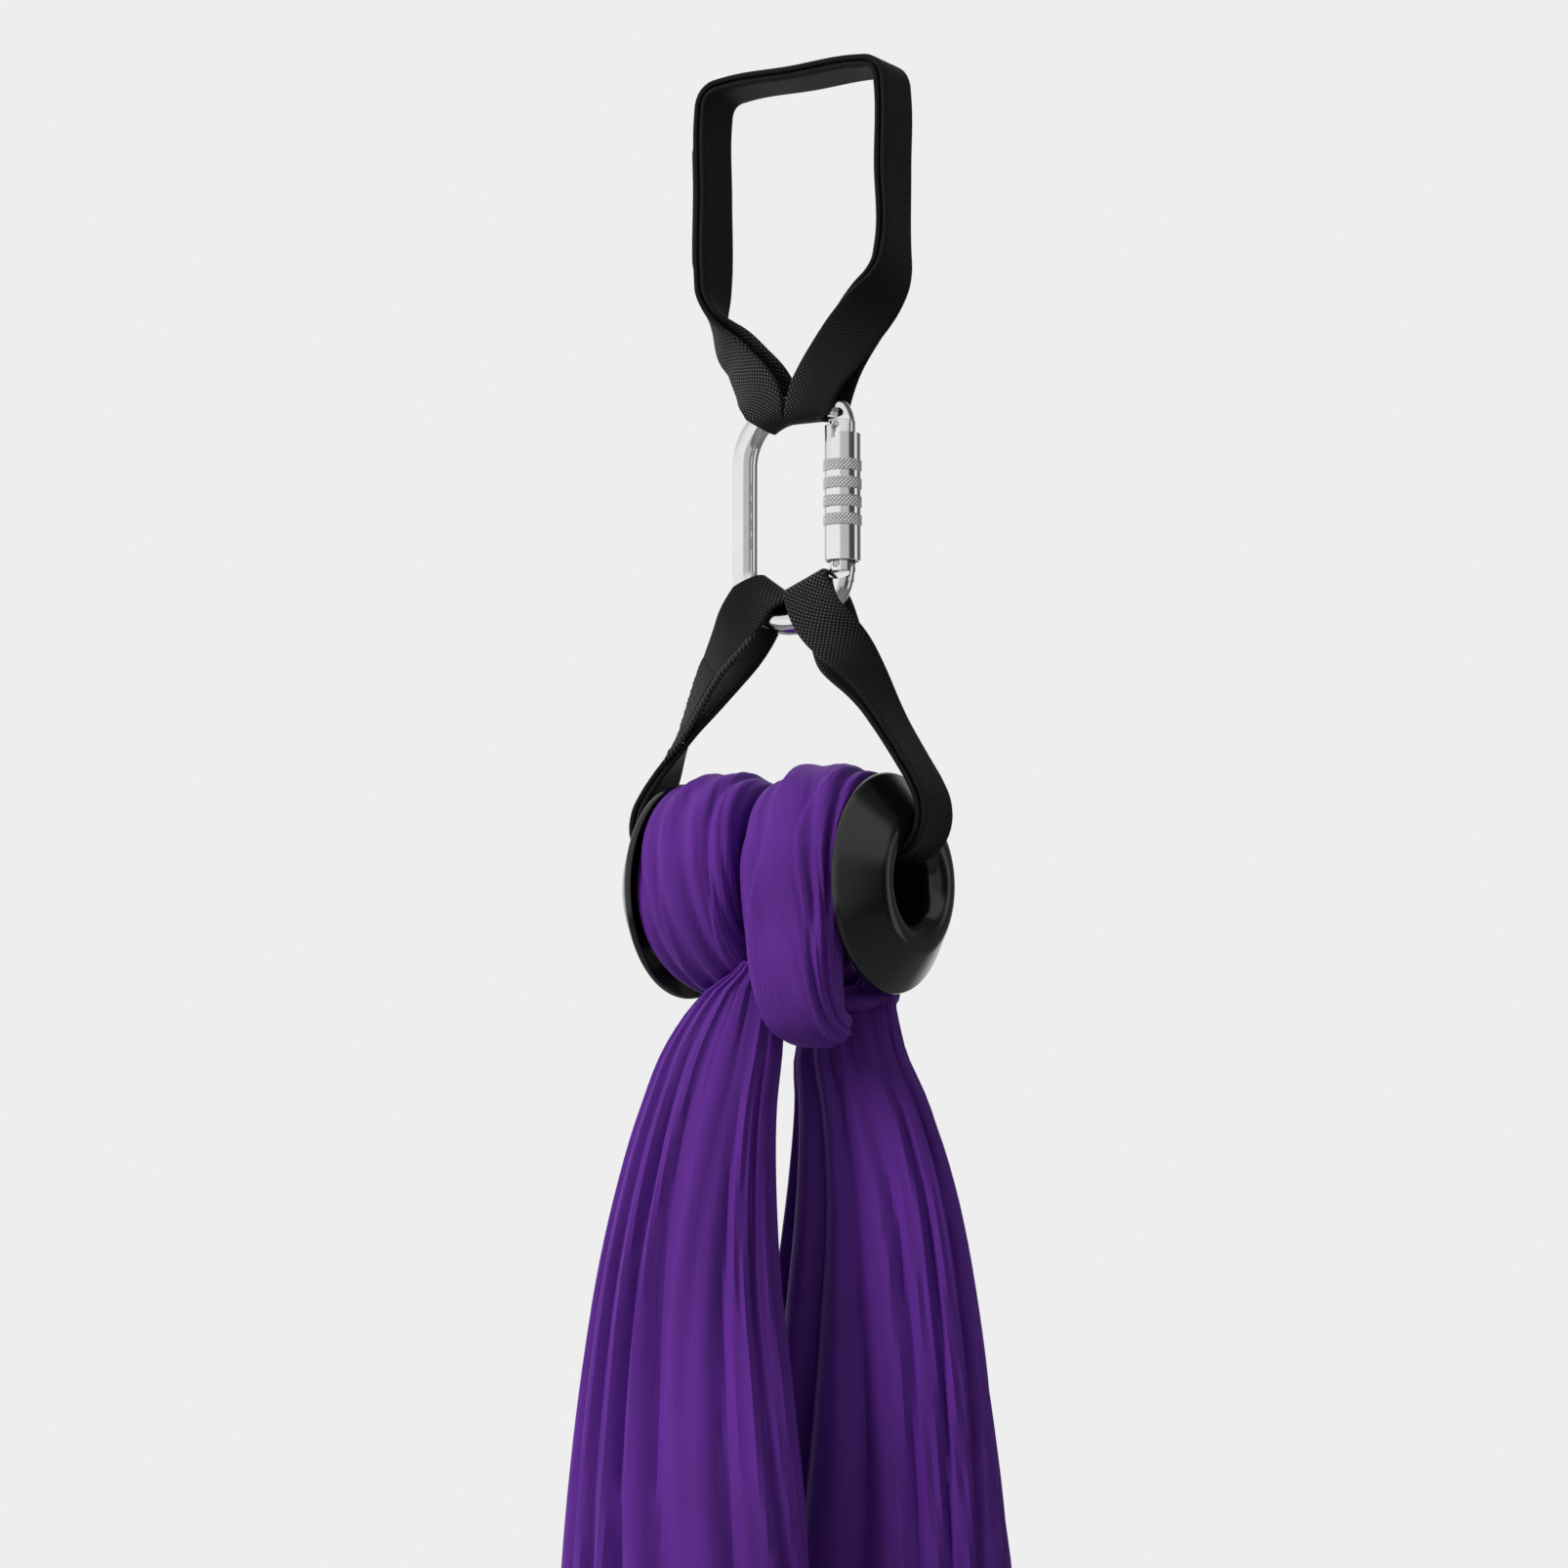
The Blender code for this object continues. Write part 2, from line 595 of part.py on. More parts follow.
def carabiner_body():
    """The bent bar with its tang for the gate's pivot and its nose tongue."""
    route = [Vector((point.x, 0, point.y)) for point in bar_route()]
    route.insert(0, Vector((HALF_WIDTH, 0, PIVOT_Z - GAP)))
    route.append(Vector((HALF_WIDTH, 0, TONGUE_END_Z)))
    body = tube("carabiner_body", route, BAR_RADIUS, BAR_ROUNDNESS)

    plate = bpy.data.curves.new("tang_outline", "CURVE")
    plate.dimensions = "2D"
    plate.fill_mode = "BOTH"
    plate.extrude = TONGUE_THICKNESS / 2
    outline = arc((HALF_WIDTH, PIVOT_Z), TANG_RADIUS, 0, math.pi)
    outline.append(Vector((HALF_WIDTH - TANG_RADIUS, PIVOT_Z - TANG_ROOT_LENGTH)))
    outline.append(Vector((HALF_WIDTH + TANG_RADIUS, PIVOT_Z - TANG_ROOT_LENGTH)))
    spline = plate.splines.new("POLY")
    spline.points.add(len(outline) - 1)
    for knot, point in zip(spline.points, outline):
        knot.co = (*point, 0, 1)
    spline.use_cyclic_u = True
    holder = bpy.data.objects.new("tang_outline", plate)
    PARTS.objects.link(holder)
    mesh = evaluated_mesh(holder)
    bpy.data.objects.remove(holder)
    bm = bmesh.new()
    bm.from_mesh(mesh)
    bmesh.ops.remove_doubles(bm, verts=bm.verts, dist=WELD)
    bmesh.ops.rotate(bm, matrix=Matrix.Rotation(math.pi / 2, 3, "X"), verts=bm.verts)
    bmesh.ops.recalc_face_normals(bm, faces=bm.faces)
    tang = as_cutter(object_from("tang_plate", bm))
    bpy.data.meshes.remove(mesh)

    reach = GATE_RADIUS + OVERRUN
    for side in (-1, 1):
        inner, outer = side * TONGUE_THICKNESS / 2, side * reach
        label = "front" if side < 0 else "back"
        cheek = rod("shoulder_" + label, (HALF_WIDTH, (inner + outer) / 2, PIVOT_Z),
                    SHOULDER_RADIUS, reach - TONGUE_THICKNESS / 2, "Y", 32)
        boolean(body, as_cutter(cheek))
        flank = box("nose_flank_" + label,
                    (HALF_WIDTH - reach, min(inner, outer), TONGUE_END_Z - OVERRUN),
                    (HALF_WIDTH + reach, max(inner, outer), NOSE_SHOULDER_Z))
        boolean(body, as_cutter(flank))
        arch = rod("nose_arch_" + label, (HALF_WIDTH, (inner + outer) / 2, NOSE_SHOULDER_Z),
                   NOSE_ARCH_RADIUS, reach - TONGUE_THICKNESS / 2, "Y", 32)
        boolean(body, as_cutter(arch))
    trim = box("tang_trim", (HALF_WIDTH - reach, -reach, PIVOT_Z - GAP - OVERRUN / 2),
               (HALF_WIDTH + reach, reach, SLEEVE_END_Z + OVERRUN))
    boolean(body, as_cutter(trim))
    boolean(body, tang, "UNION")
    rivet_hole = rod("rivet_hole", (HALF_WIDTH, 0, PIVOT_Z), RIVET_RADIUS + FIT_GAP,
                     2 * reach, "Y")
    boolean(body, as_cutter(rivet_hole))
    notch_x = HALF_WIDTH + LATCH_PIN_RADIUS + FIT_GAP
    notch = box("latch_notch",
                (HALF_WIDTH - reach, -reach, LATCH_PIN_Z - NOTCH_DROP - NOTCH_HEIGHT / 2),
                (notch_x, reach, LATCH_PIN_Z - NOTCH_DROP + NOTCH_HEIGHT / 2))
    boolean(body, as_cutter(notch))
    return body


def gate_arm():
    """The gate: a round bar slotted at both ends, waisted for the sleeve's spring."""
    profile = [(0, GATE_TOP_Z), (GATE_RADIUS - GATE_EDGE, GATE_TOP_Z),
               (GATE_RADIUS, GATE_TOP_Z - GATE_EDGE),
               (GATE_RADIUS, SPRING_SEAT_TOP_Z), (SPRING_SEAT_RADIUS, SPRING_SEAT_TOP_Z),
               (SPRING_SEAT_RADIUS, SPRING_SEAT_END_Z), (GATE_RADIUS, SPRING_SEAT_END_Z),
               (GATE_RADIUS, RING_TOP_Z + FIT_GAP), (RING_GROOVE_RADIUS, RING_TOP_Z + FIT_GAP),
               (RING_GROOVE_RADIUS, RING_TOP_Z - RING_THICKNESS - FIT_GAP),
               (GATE_RADIUS, RING_TOP_Z - RING_THICKNESS - FIT_GAP),
               (GATE_RADIUS, GATE_END_Z + GATE_EDGE), (GATE_RADIUS - GATE_EDGE, GATE_END_Z),
               (0, GATE_END_Z)]
    gate = turned("gate_arm", profile, 24, closed=False)
    gate.location.x = HALF_WIDTH
    half_slot = TONGUE_THICKNESS / 2 + FIT_GAP
    reach = GATE_RADIUS + OVERRUN
    head_slot = box("gate_head_slot", (HALF_WIDTH - reach, -half_slot, GATE_SLOT_FLOOR_Z),
                    (HALF_WIDTH + reach, half_slot, GATE_TOP_Z + OVERRUN))
    foot_slot = box("gate_foot_slot", (HALF_WIDTH - reach, -half_slot, GATE_END_Z - OVERRUN),
                    (HALF_WIDTH + reach, half_slot, tang_top_z() + FIT_GAP))
    spring_bore_end = PIVOT_Z
    spring_bore = rod("gate_spring_bore",
                      (HALF_WIDTH, 0, (SPRING_BORE_TOP_Z + spring_bore_end) / 2),
                      SPRING_BORE_RADIUS, SPRING_BORE_TOP_Z - spring_bore_end)
    pin_hole = rod("latch_pin_hole", (HALF_WIDTH, 0, LATCH_PIN_Z),
                   LATCH_PIN_RADIUS + FIT_GAP, 2 * reach, "Y", 16)
    rivet_hole = rod("gate_rivet_hole", (HALF_WIDTH, 0, PIVOT_Z), RIVET_RADIUS + FIT_GAP,
                     2 * reach, "Y")
    guide_hole = rod("guide_pin_hole", (HALF_WIDTH, (GUIDE_PIN_INNER_Y - GAP + reach) / 2,
                                        GUIDE_PIN_Z),
                     GUIDE_PIN_RADIUS + FIT_GAP, reach - GUIDE_PIN_INNER_Y + GAP, "Y", 16)
    for cutter in (head_slot, foot_slot, spring_bore, pin_hole, rivet_hole, guide_hole):
        boolean(gate, as_cutter(cutter))
    return gate


def tang_top_z():
    return PIVOT_Z + TANG_RADIUS


def lock_sleeve():
    """The twist sleeve: knurled bands, a stepped collar and a groove for its pin."""
    profile = [(SLEEVE_RADIUS - SLEEVE_EDGE, SLEEVE_TOP_Z),
               (SLEEVE_RADIUS, SLEEVE_TOP_Z - SLEEVE_EDGE)]
    for index in range(BAND_COUNT):
        top = BAND_TOP_Z - index * BAND_PITCH
        end = top - BAND_HEIGHT
        profile += [(SLEEVE_RADIUS, top), (BAND_RADIUS, top - BAND_EDGE),
                    (BAND_RADIUS, end + BAND_EDGE), (SLEEVE_RADIUS, end)]
    counterbore_z = SLEEVE_END_Z + SLEEVE_COUNTERBORE_DEPTH
    profile += [(SLEEVE_RADIUS, SLEEVE_END_Z + SLEEVE_EDGE),
                (SLEEVE_RADIUS - SLEEVE_EDGE, SLEEVE_END_Z),
                (SLEEVE_COUNTERBORE_RADIUS, SLEEVE_END_Z),
                (SLEEVE_COUNTERBORE_RADIUS, counterbore_z),
                (SLEEVE_BORE_RADIUS, counterbore_z), (SLEEVE_BORE_RADIUS, SLEEVE_TOP_Z)]
    sleeve = turned("lock_sleeve", profile, 28)
    sleeve.location.x = HALF_WIDTH

    reach = SLEEVE_RADIUS + OVERRUN
    step = box("collar_step", (HALF_WIDTH, -reach, SLEEVE_STEP_Z),
               (HALF_WIDTH + reach, reach, SLEEVE_TOP_Z + OVERRUN))
    slot = box("collar_slot", (HALF_WIDTH - SLEEVE_SLOT_WIDTH / 2, -reach, SLEEVE_SLOT_END_Z),
               (HALF_WIDTH + SLEEVE_SLOT_WIDTH / 2, 0, SLEEVE_TOP_Z + OVERRUN))
    half_height = GUIDE_PIN_RADIUS + FIT_GAP
    groove_radius = SLEEVE_BORE_RADIUS + GUIDE_GROOVE_DEPTH
    inner = SLEEVE_BORE_RADIUS - OVERRUN / 2
    groove_profile = [(inner, GUIDE_PIN_Z + half_height), (groove_radius, GUIDE_PIN_Z + half_height),
                      (groove_radius, GUIDE_PIN_Z - half_height), (inner, GUIDE_PIN_Z - half_height)]
    bm = bmesh.new()
    corners = [bm.verts.new((radius, 0, height)) for radius, height in groove_profile]
    face = bm.faces.new(corners)
    sweep = GUIDE_GROOVE_END - GUIDE_GROOVE_START
    bmesh.ops.spin(bm, geom=[face], cent=(0, 0, 0), axis=(0, 0, 1), angle=sweep, steps=10)
    bmesh.ops.rotate(bm, matrix=Matrix.Rotation(GUIDE_GROOVE_START, 3, "Z"), verts=bm.verts)
    bmesh.ops.translate(bm, vec=(HALF_WIDTH, 0, 0), verts=bm.verts)
    bmesh.ops.remove_doubles(bm, verts=bm.verts, dist=WELD)
    bmesh.ops.recalc_face_normals(bm, faces=bm.faces)
    groove = object_from("guide_groove", bm)
    for cutter in (step, slot, groove):
        boolean(sleeve, as_cutter(cutter))
    return sleeve


def small_pins():
    """The latch pin, the pivot rivet and the sleeve's guide pin."""
    latch = rod("latch_pin", (HALF_WIDTH, 0, LATCH_PIN_Z), LATCH_PIN_RADIUS,
                2 * (GATE_RADIUS - GAP), "Y", 16)
    rivet = rod("gate_rivet", (HALF_WIDTH, 0, PIVOT_Z), RIVET_RADIUS, RIVET_LENGTH, "Y")
    outer = SLEEVE_BORE_RADIUS + GUIDE_PIN_REACH
    guide = rod("sleeve_guide_pin", (HALF_WIDTH, (GUIDE_PIN_INNER_Y + outer) / 2, GUIDE_PIN_Z),
                GUIDE_PIN_RADIUS, outer - GUIDE_PIN_INNER_Y, "Y", 16)
    return latch, rivet, guide


def retaining_ring():
    """The ring that keeps the sleeve on the gate."""
    inner = RING_GROOVE_RADIUS + FIT_GAP
    profile = [(RING_OUTER_RADIUS, RING_TOP_Z), (RING_OUTER_RADIUS, RING_TOP_Z - RING_THICKNESS),
               (inner, RING_TOP_Z - RING_THICKNESS), (inner, RING_TOP_Z)]
    ring = turned("sleeve_retaining_ring", profile, 24)
    ring.location.x = HALF_WIDTH
    return ring


def helix(radius, top_z, end_z, turns, points_per_turn=8):
    count = turns * points_per_turn
    places = []
    for index in range(count + 1):
        angle = TURN * index / points_per_turn
        height = top_z + (end_z - top_z) * index / count
        places.append(Vector((HALF_WIDTH + radius * math.cos(angle),
                              radius * math.sin(angle), height)))
    return places


def springs_and_plunger():
    """The sleeve's spring, the gate's spring and the plunger that bears on the tang."""
    sleeve_radius = (SPRING_SEAT_RADIUS + SLEEVE_BORE_RADIUS) / 2
    sleeve_points = helix(sleeve_radius, SPRING_SEAT_TOP_Z - GAP - SLEEVE_SPRING_WIRE,
                          SPRING_SEAT_END_Z + GAP + SLEEVE_SPRING_WIRE, SLEEVE_SPRING_TURNS)
    sleeve_spring = tube("sleeve_spring", sleeve_points, SLEEVE_SPRING_WIRE, 1)
    plunger_end = tang_top_z() + GAP
    plunger = rod("gate_plunger", (HALF_WIDTH, 0, plunger_end + PLUNGER_LENGTH / 2),
                  PLUNGER_RADIUS, PLUNGER_LENGTH, "Z", 16)
    gate_points = helix(SPRING_BORE_RADIUS - GATE_SPRING_WIRE - GAP,
                        SPRING_BORE_TOP_Z - GAP - GATE_SPRING_WIRE,
                        plunger_end + PLUNGER_LENGTH + GAP + GATE_SPRING_WIRE,
                        GATE_SPRING_TURNS)
    gate_spring = tube("gate_spring", gate_points, GATE_SPRING_WIRE, 1)
    return sleeve_spring, gate_spring, plunger


def flange_profile():
    """A flange's section as radius and distance from the spool's middle."""
    rim = Vector((RIM_RADIUS, RIM_X))
    lip = Vector((LIP_CENTRE_RHO, LIP_CENTRE_X))
    offset = rim - lip
    tangent = math.atan2(offset.y, offset.x) + math.acos(LIP_RADIUS / offset.length)
    outside = arc(lip, LIP_RADIUS, math.pi / 2, tangent, BEND_STEP)
    cone = (rim - outside[-1]).normalized()
    inward = Vector((cone.y, -cone.x))
    if inward.y > 0:
        inward = -inward
    edge = [rim - cone * RIM_EDGE, rim + Vector((0, -RIM_EDGE)),
            rim + Vector((0, RIM_EDGE - RIM_THICKNESS)),
            rim + Vector((-RIM_EDGE, -RIM_THICKNESS))]
    wall_end = outside[-1] + inward * WALL_THICKNESS
    hub = [wall_end, Vector((CORE_RADIUS, HUB_STEP_X)),
           Vector((CORE_RADIUS, CORE_HALF_LENGTH + GAP)),
           Vector((CORE_INNER_RADIUS - FIT_GAP, CORE_HALF_LENGTH + GAP)),
           Vector((CORE_INNER_RADIUS - FIT_GAP, CORE_HALF_LENGTH - SPIGOT_LENGTH)),
           Vector((BORE_RADIUS, CORE_HALF_LENGTH - SPIGOT_LENGTH))]
    inside = arc(lip, LIP_RADIUS, math.pi, math.pi / 2, BEND_STEP)
    return outside + edge + hub + inside[:-1]


def spool_flange(name, side):
    flange = turned(name, flange_profile(), 32)
    flange.location.z = SPOOL_Z
    flange.rotation_euler.y = side * math.pi / 2
    return flange


def spool_core():
    profile = [(CORE_RADIUS, CORE_HALF_LENGTH), (CORE_RADIUS, -CORE_HALF_LENGTH),
               (CORE_INNER_RADIUS, -CORE_HALF_LENGTH), (CORE_INNER_RADIUS, CORE_HALF_LENGTH)]
    core = turned("spool_core", profile, 32)
    core.location.z = SPOOL_Z
    core.rotation_euler.y = math.pi / 2
    return core


def coil_x(angle):
    """The coil's place along the spool, eased between its named places."""
    x = COIL_XS[0]
    for index in range(1, len(COIL_XS)):
        share = smoothstep(angle, COIL_ANGLES[index - 1], COIL_ANGLES[index])
        x += (COIL_XS[index] - COIL_XS[index - 1]) * share
    return x


def rope_route():
    """The gathered fabric's centre line and its size share at each point.

    The angle runs from the top of the spool over the front. The left coil crosses to
    the right one behind the spool, and the right coil's front hangs down as a bight.
    """
    radius = CORE_RADIUS + GAP + ROPE_THICKNESS * (1 + ROPE_FOLD_SHARE) / 2
    sweep = COIL_ANGLES[-1] - COIL_ANGLES[0]
    count = round(sweep / TURN * TURN_STEPS)
    route = []
    for index in range(count + 1):
        angle = COIL_ANGLES[0] + sweep * index / count
        place = Vector((coil_x(angle), -radius * math.sin(angle), radius * math.cos(angle)))
        route.append((place, 1))
    for x, y, z, size in zip(BIGHT_XS, BIGHT_YS, BIGHT_ZS, BIGHT_SIZE_SHARES):
        route.append((Vector((x, y, z)), size))
    return route


def silk_wrap():
    """The fabric's coils as one unbroken folded tube, with its least gap measured."""
    route = rope_route()
    centres = [place for place, size in route]
    squash = ROPE_WIDTH / ROPE_THICKNESS
    rings = []
    for index, (centre, size) in enumerate(route):
        before = centres[max(index - 1, 0)]
        after = centres[min(index + 1, len(centres) - 1)]
        along = (after - before)
        along.x = along.x / squash
        along.normalize()
        side = Vector((1, 0, 0)) - along * along.x
        side.normalize()
        out = side.cross(along)
        ring = []
        for corner in range(ROPE_SIDES):
            angle = TURN * corner / ROPE_SIDES
            fold = 1 + ROPE_FOLD_SHARE * math.cos(ROPE_FOLDS * angle)
            reach = ROPE_THICKNESS / 2 * size * fold
            offset = side * math.cos(angle) * reach + out * math.sin(angle) * reach
            ring.append(Vector((centre.x + offset.x * squash, centre.y + offset.y,
                                SPOOL_Z + centre.z + offset.z)))
        rings.append(ring)

    def place(column, row):
        return rings[row][column % ROPE_SIDES]

    wrap = bent_grid("silk_wrap", ROPE_SIDES, len(rings) - 1, place, welded=True)
    bm = bmesh.new()
    bm.from_mesh(wrap.data)
    bmesh.ops.holes_fill(bm, edges=[edge for edge in bm.edges if edge.is_boundary])
    bmesh.ops.recalc_face_normals(bm, faces=bm.faces)
    bm.to_mesh(wrap.data)
    bm.free()
    print("silk_wrap least gap to itself, mm:", round(least_gap(rings) * 1000, 2))
    return wrap


def least_gap(rings):
    """The smallest distance between points of the tube that lie a half turn apart."""
    points = np.array([[list(point) for point in ring] for ring in rings])
    least = math.inf
    for index in range(len(rings)):
        far = points[index + TURN_STEPS // 2:]
        if len(far):
            apart = np.linalg.norm(far.reshape(-1, 1, 3) - points[index][None], axis=2)
            least = min(least, float(apart.min()))
    return least


def tail_top_z(side):
    return SPOOL_Z - (TAIL_FRONT_DROP if side < 0 else TAIL_BACK_DROP)


def silk_tail(name, side):
    """A gathered length of fabric: an open fold of cloth with its main folds.

    SIDE is -1 for the front tail and 1 for the back one.
    """
    def section(drop):
        spread = 1 - math.exp(-drop / TAIL_SPREAD_LENGTH)
        hem = TAIL_HEM_SPREAD * (drop / TAIL_LENGTH) ** 2
        half_width = TAIL_HALF_WIDTH + (TAIL_FULL_HALF_WIDTH - TAIL_HALF_WIDTH) * spread + hem
        half_depth = TAIL_TOP_HALF_DEPTH
        half_depth += (TAIL_FULL_HALF_DEPTH - TAIL_TOP_HALF_DEPTH) * spread
        half_depth += hem * TAIL_HEM_DEPTH_SHARE
        x = TAIL_FULL_X - (TAIL_FULL_X - TAIL_TOP_X) * math.exp(-drop / TAIL_APART_LENGTH)
        return half_width, half_depth, side * x

    def place(column, row):
        drop = TAIL_LENGTH * (row / TAIL_ROWS) ** TAIL_ROW_POWER
        half_width, half_depth, x = section(drop)
        turn = TAIL_OPENING / 2 + (TURN - TAIL_OPENING) * column / TAIL_COLUMNS
        opened = TAIL_TOP_FOLD_SHARE + (1 - TAIL_TOP_FOLD_SHARE) * min(1, drop / TAIL_SPREAD_LENGTH)
        fold = TAIL_FOLD_DEPTH * opened * math.cos(TAIL_FOLDS * turn + row * TAIL_FOLD_TURN_SHARE)
        y_centre = side * (half_depth + TAIL_FOLD_DEPTH + TAIL_MIDDLE_CLEARANCE)
        return Vector((x + (half_width - TAIL_FOLD_DEPTH + fold) * math.sin(turn),
                       y_centre - side * (half_depth + fold) * math.cos(turn),
                       tail_top_z(side) - drop))

    tail = bent_grid(name, TAIL_COLUMNS, TAIL_ROWS, place)
    thicken(tail, TAIL_THICKNESS)
    return tail


def joint_axis(name, place, parent=None):
    """An empty on a joint's axis; the pieces that turn with it are its children."""
    empty = bpy.data.objects.new(name, None)
    empty.empty_display_size = BAR_RADIUS
    PARTS.objects.link(empty)
    empty.location = place
    if parent:
        ride_on(parent, empty)
    return empty


def ride_on(parent, *children):
    """Parent the children, which keep their places in the world."""
    for child in children:
        child.parent = parent
        child.matrix_parent_inverse = Matrix.Translation(-WORLD_PLACES[parent.name])


def world_axis(name, place, parent=None):
    WORLD_PLACES[name] = Vector(place)
    return joint_axis(name, place, parent)


def carry_cutters():
    """Let every cutter ride with the piece that it cuts."""
    for piece in PARTS.objects:
        for modifier in piece.modifiers:
            if modifier.type == "BOOLEAN":
                ride_on(piece.parent, modifier.object)


def main():
    webbing = new_material("black_webbing", (0.012, 0.012, 0.013), 0.75)
    steel = new_material("polished_steel", (0.72, 0.73, 0.75), 0.18, 1.0)
    pin_steel = new_material("pin_steel", (0.45, 0.46, 0.48), 0.35, 1.0)
    spool_black = new_material("gloss_black", (0.008, 0.008, 0.009), 0.22)
    silk = new_material("purple_silk", (0.16, 0.045, 0.34), 0.55)

    for piece in upper_sling():
        finish(piece, webbing)
    bottom_pieces = [finish(piece, webbing) for piece in lower_sling()]
    round_angle = math.radians(35)
    body = finish(carabiner_body(), steel, round_angle)
    gate = finish(gate_arm(), steel, round_angle)
    sleeve = finish(lock_sleeve(), steel, round_angle)
    latch, rivet, guide = [finish(pin, pin_steel, round_angle) for pin in small_pins()]
    ring = finish(retaining_ring(), pin_steel, round_angle)
    sleeve_spring, gate_spring, plunger = [finish(piece, pin_steel, round_angle)
                                           for piece in springs_and_plunger()]
    core = finish(spool_core(), spool_black, round_angle)
    left_flange = finish(spool_flange("spool_flange_left", -1), spool_black, round_angle)
    right_flange = finish(spool_flange("spool_flange_right", 1), spool_black, round_angle)
    wrap = finish(silk_wrap(), silk, math.radians(60))
    front_tail = finish(silk_tail("silk_tail_front", -1), silk, math.radians(60))
    back_tail = finish(silk_tail("silk_tail_back", 1), silk, math.radians(60))

    swing = world_axis("carabiner_swing_axis", (0, 0, UPPER_SWING_Z))
    ride_on(swing, body, rivet)
    gate_axis = world_axis("gate_open_axis", (HALF_WIDTH, 0, PIVOT_Z), swing)
    ride_on(gate_axis, gate, latch, guide, ring, sleeve_spring, gate_spring, plunger)
    sleeve_axis = world_axis("sleeve_twist_axis", (HALF_WIDTH, 0, SLEEVE_END_Z), gate_axis)
    ride_on(sleeve_axis, sleeve)
    sling_axis = world_axis("lower_sling_swing_axis", (0, 0, LOWER_SWING_Z), swing)
    ride_on(sling_axis, *bottom_pieces)
    spool_axis = world_axis("spool_roll_axis", (0, 0, SPOOL_Z), sling_axis)
    ride_on(spool_axis, core, left_flange, right_flange, wrap)
    for tail, label in ((front_tail, "front"), (back_tail, "back")):
        side = -1 if label == "front" else 1
        y = side * (TAIL_TOP_HALF_DEPTH + TAIL_FOLD_DEPTH + TAIL_MIDDLE_CLEARANCE)
        tail_axis = world_axis("tail_" + label + "_swing_axis",
                               (0, y, tail_top_z(side)), spool_axis)
        ride_on(tail_axis, tail)
    carry_cutters()
    swing.location.x += CARABINER_X
    sling_axis.location.x += SPOOL_X - CARABINER_X


clear_scene()
PARTS = new_collection(OBJECT_NAME)
CUTTERS = new_collection("cutters")
WORLD_PLACES = {}
main()
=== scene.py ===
"""Aerial silks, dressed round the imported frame.

Two webbing slings, a carabiner with a twist-lock gate, a flanged spool and one long
fabric hitched round it. Lengths are in metres and places are in the frame's axes: +Z up,
+X along the spool, and the front at -Y.
"""

import math

import bmesh
import bpy
import numpy as np
from bpy.props import FloatProperty, FloatVectorProperty, IntProperty, PointerProperty
from mathutils import Matrix, Vector


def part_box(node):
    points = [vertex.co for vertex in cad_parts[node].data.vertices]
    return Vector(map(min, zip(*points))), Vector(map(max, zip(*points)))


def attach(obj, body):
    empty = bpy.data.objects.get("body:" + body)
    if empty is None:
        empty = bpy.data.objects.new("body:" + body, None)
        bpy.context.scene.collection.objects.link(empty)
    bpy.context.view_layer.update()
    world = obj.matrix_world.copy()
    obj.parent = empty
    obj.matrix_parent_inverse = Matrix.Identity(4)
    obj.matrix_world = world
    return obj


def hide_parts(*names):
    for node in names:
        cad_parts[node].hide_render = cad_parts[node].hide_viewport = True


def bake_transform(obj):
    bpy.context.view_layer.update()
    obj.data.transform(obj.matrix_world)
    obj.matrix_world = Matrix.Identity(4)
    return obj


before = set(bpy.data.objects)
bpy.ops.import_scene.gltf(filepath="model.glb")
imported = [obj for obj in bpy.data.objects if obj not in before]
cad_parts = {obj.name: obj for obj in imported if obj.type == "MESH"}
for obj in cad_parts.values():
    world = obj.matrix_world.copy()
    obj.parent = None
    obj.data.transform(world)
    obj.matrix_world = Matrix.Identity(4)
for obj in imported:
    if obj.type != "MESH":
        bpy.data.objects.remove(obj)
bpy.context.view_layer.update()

bl_info = {
    "name": "Aerial Silks",
    "version": (1, 0, 0),
    "blender": (4, 5, 0),
    "location": "View3D > Sidebar > Silks",
    "description": "Webbing slings, a twist-lock carabiner, a spool and hitched silks",
    "category": "Object",
}

TURN = 2 * math.pi
# Vertices nearer than this are one, and edges sharper than the angle stay sharp
WELD = 0.00001
SMOOTH_ANGLE = math.radians(32)
# How far a cutter runs past what it cuts
OVERRUN = 0.002

# Places read from the frame
BODY_LOW, BODY_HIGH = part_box("carabiner_body")
SLEEVE_LOW, SLEEVE_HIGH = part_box("lock_sleeve")
GATE_LOW, GATE_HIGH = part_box("gate_arm")
CORE_LOW, CORE_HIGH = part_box("spool_core")
FLANGE_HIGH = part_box("spool_flange_right")[1]
LATCH_LOW, LATCH_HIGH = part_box("latch_pin")
RIVET_LOW, RIVET_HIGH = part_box("gate_rivet")
FRONT_TOP_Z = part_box("silk_tail_front")[1][2]
BACK_TOP_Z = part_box("silk_tail_back")[1][2]

BAR_RADIUS = BODY_HIGH[1]
GATE_X = (GATE_LOW[0] + GATE_HIGH[0]) / 2
GATE_RADIUS = (GATE_HIGH[0] - GATE_LOW[0]) / 2
BODY_X = (BODY_LOW[0] + BAR_RADIUS + GATE_X) / 2
HALF_WIDTH = GATE_X - BODY_X
TOP_Z = BODY_HIGH[2] - BAR_RADIUS
BOTTOM_Z = BODY_LOW[2] + BAR_RADIUS
PIVOT_Z = (RIVET_LOW[2] + RIVET_HIGH[2]) / 2
LATCH_Z = (LATCH_LOW[2] + LATCH_HIGH[2]) / 2
SLEEVE_TOP_Z = SLEEVE_HIGH[2]
SLEEVE_END_Z = SLEEVE_LOW[2]
GATE_TOP_Z = GATE_HIGH[2]
GATE_END_Z = GATE_LOW[2]
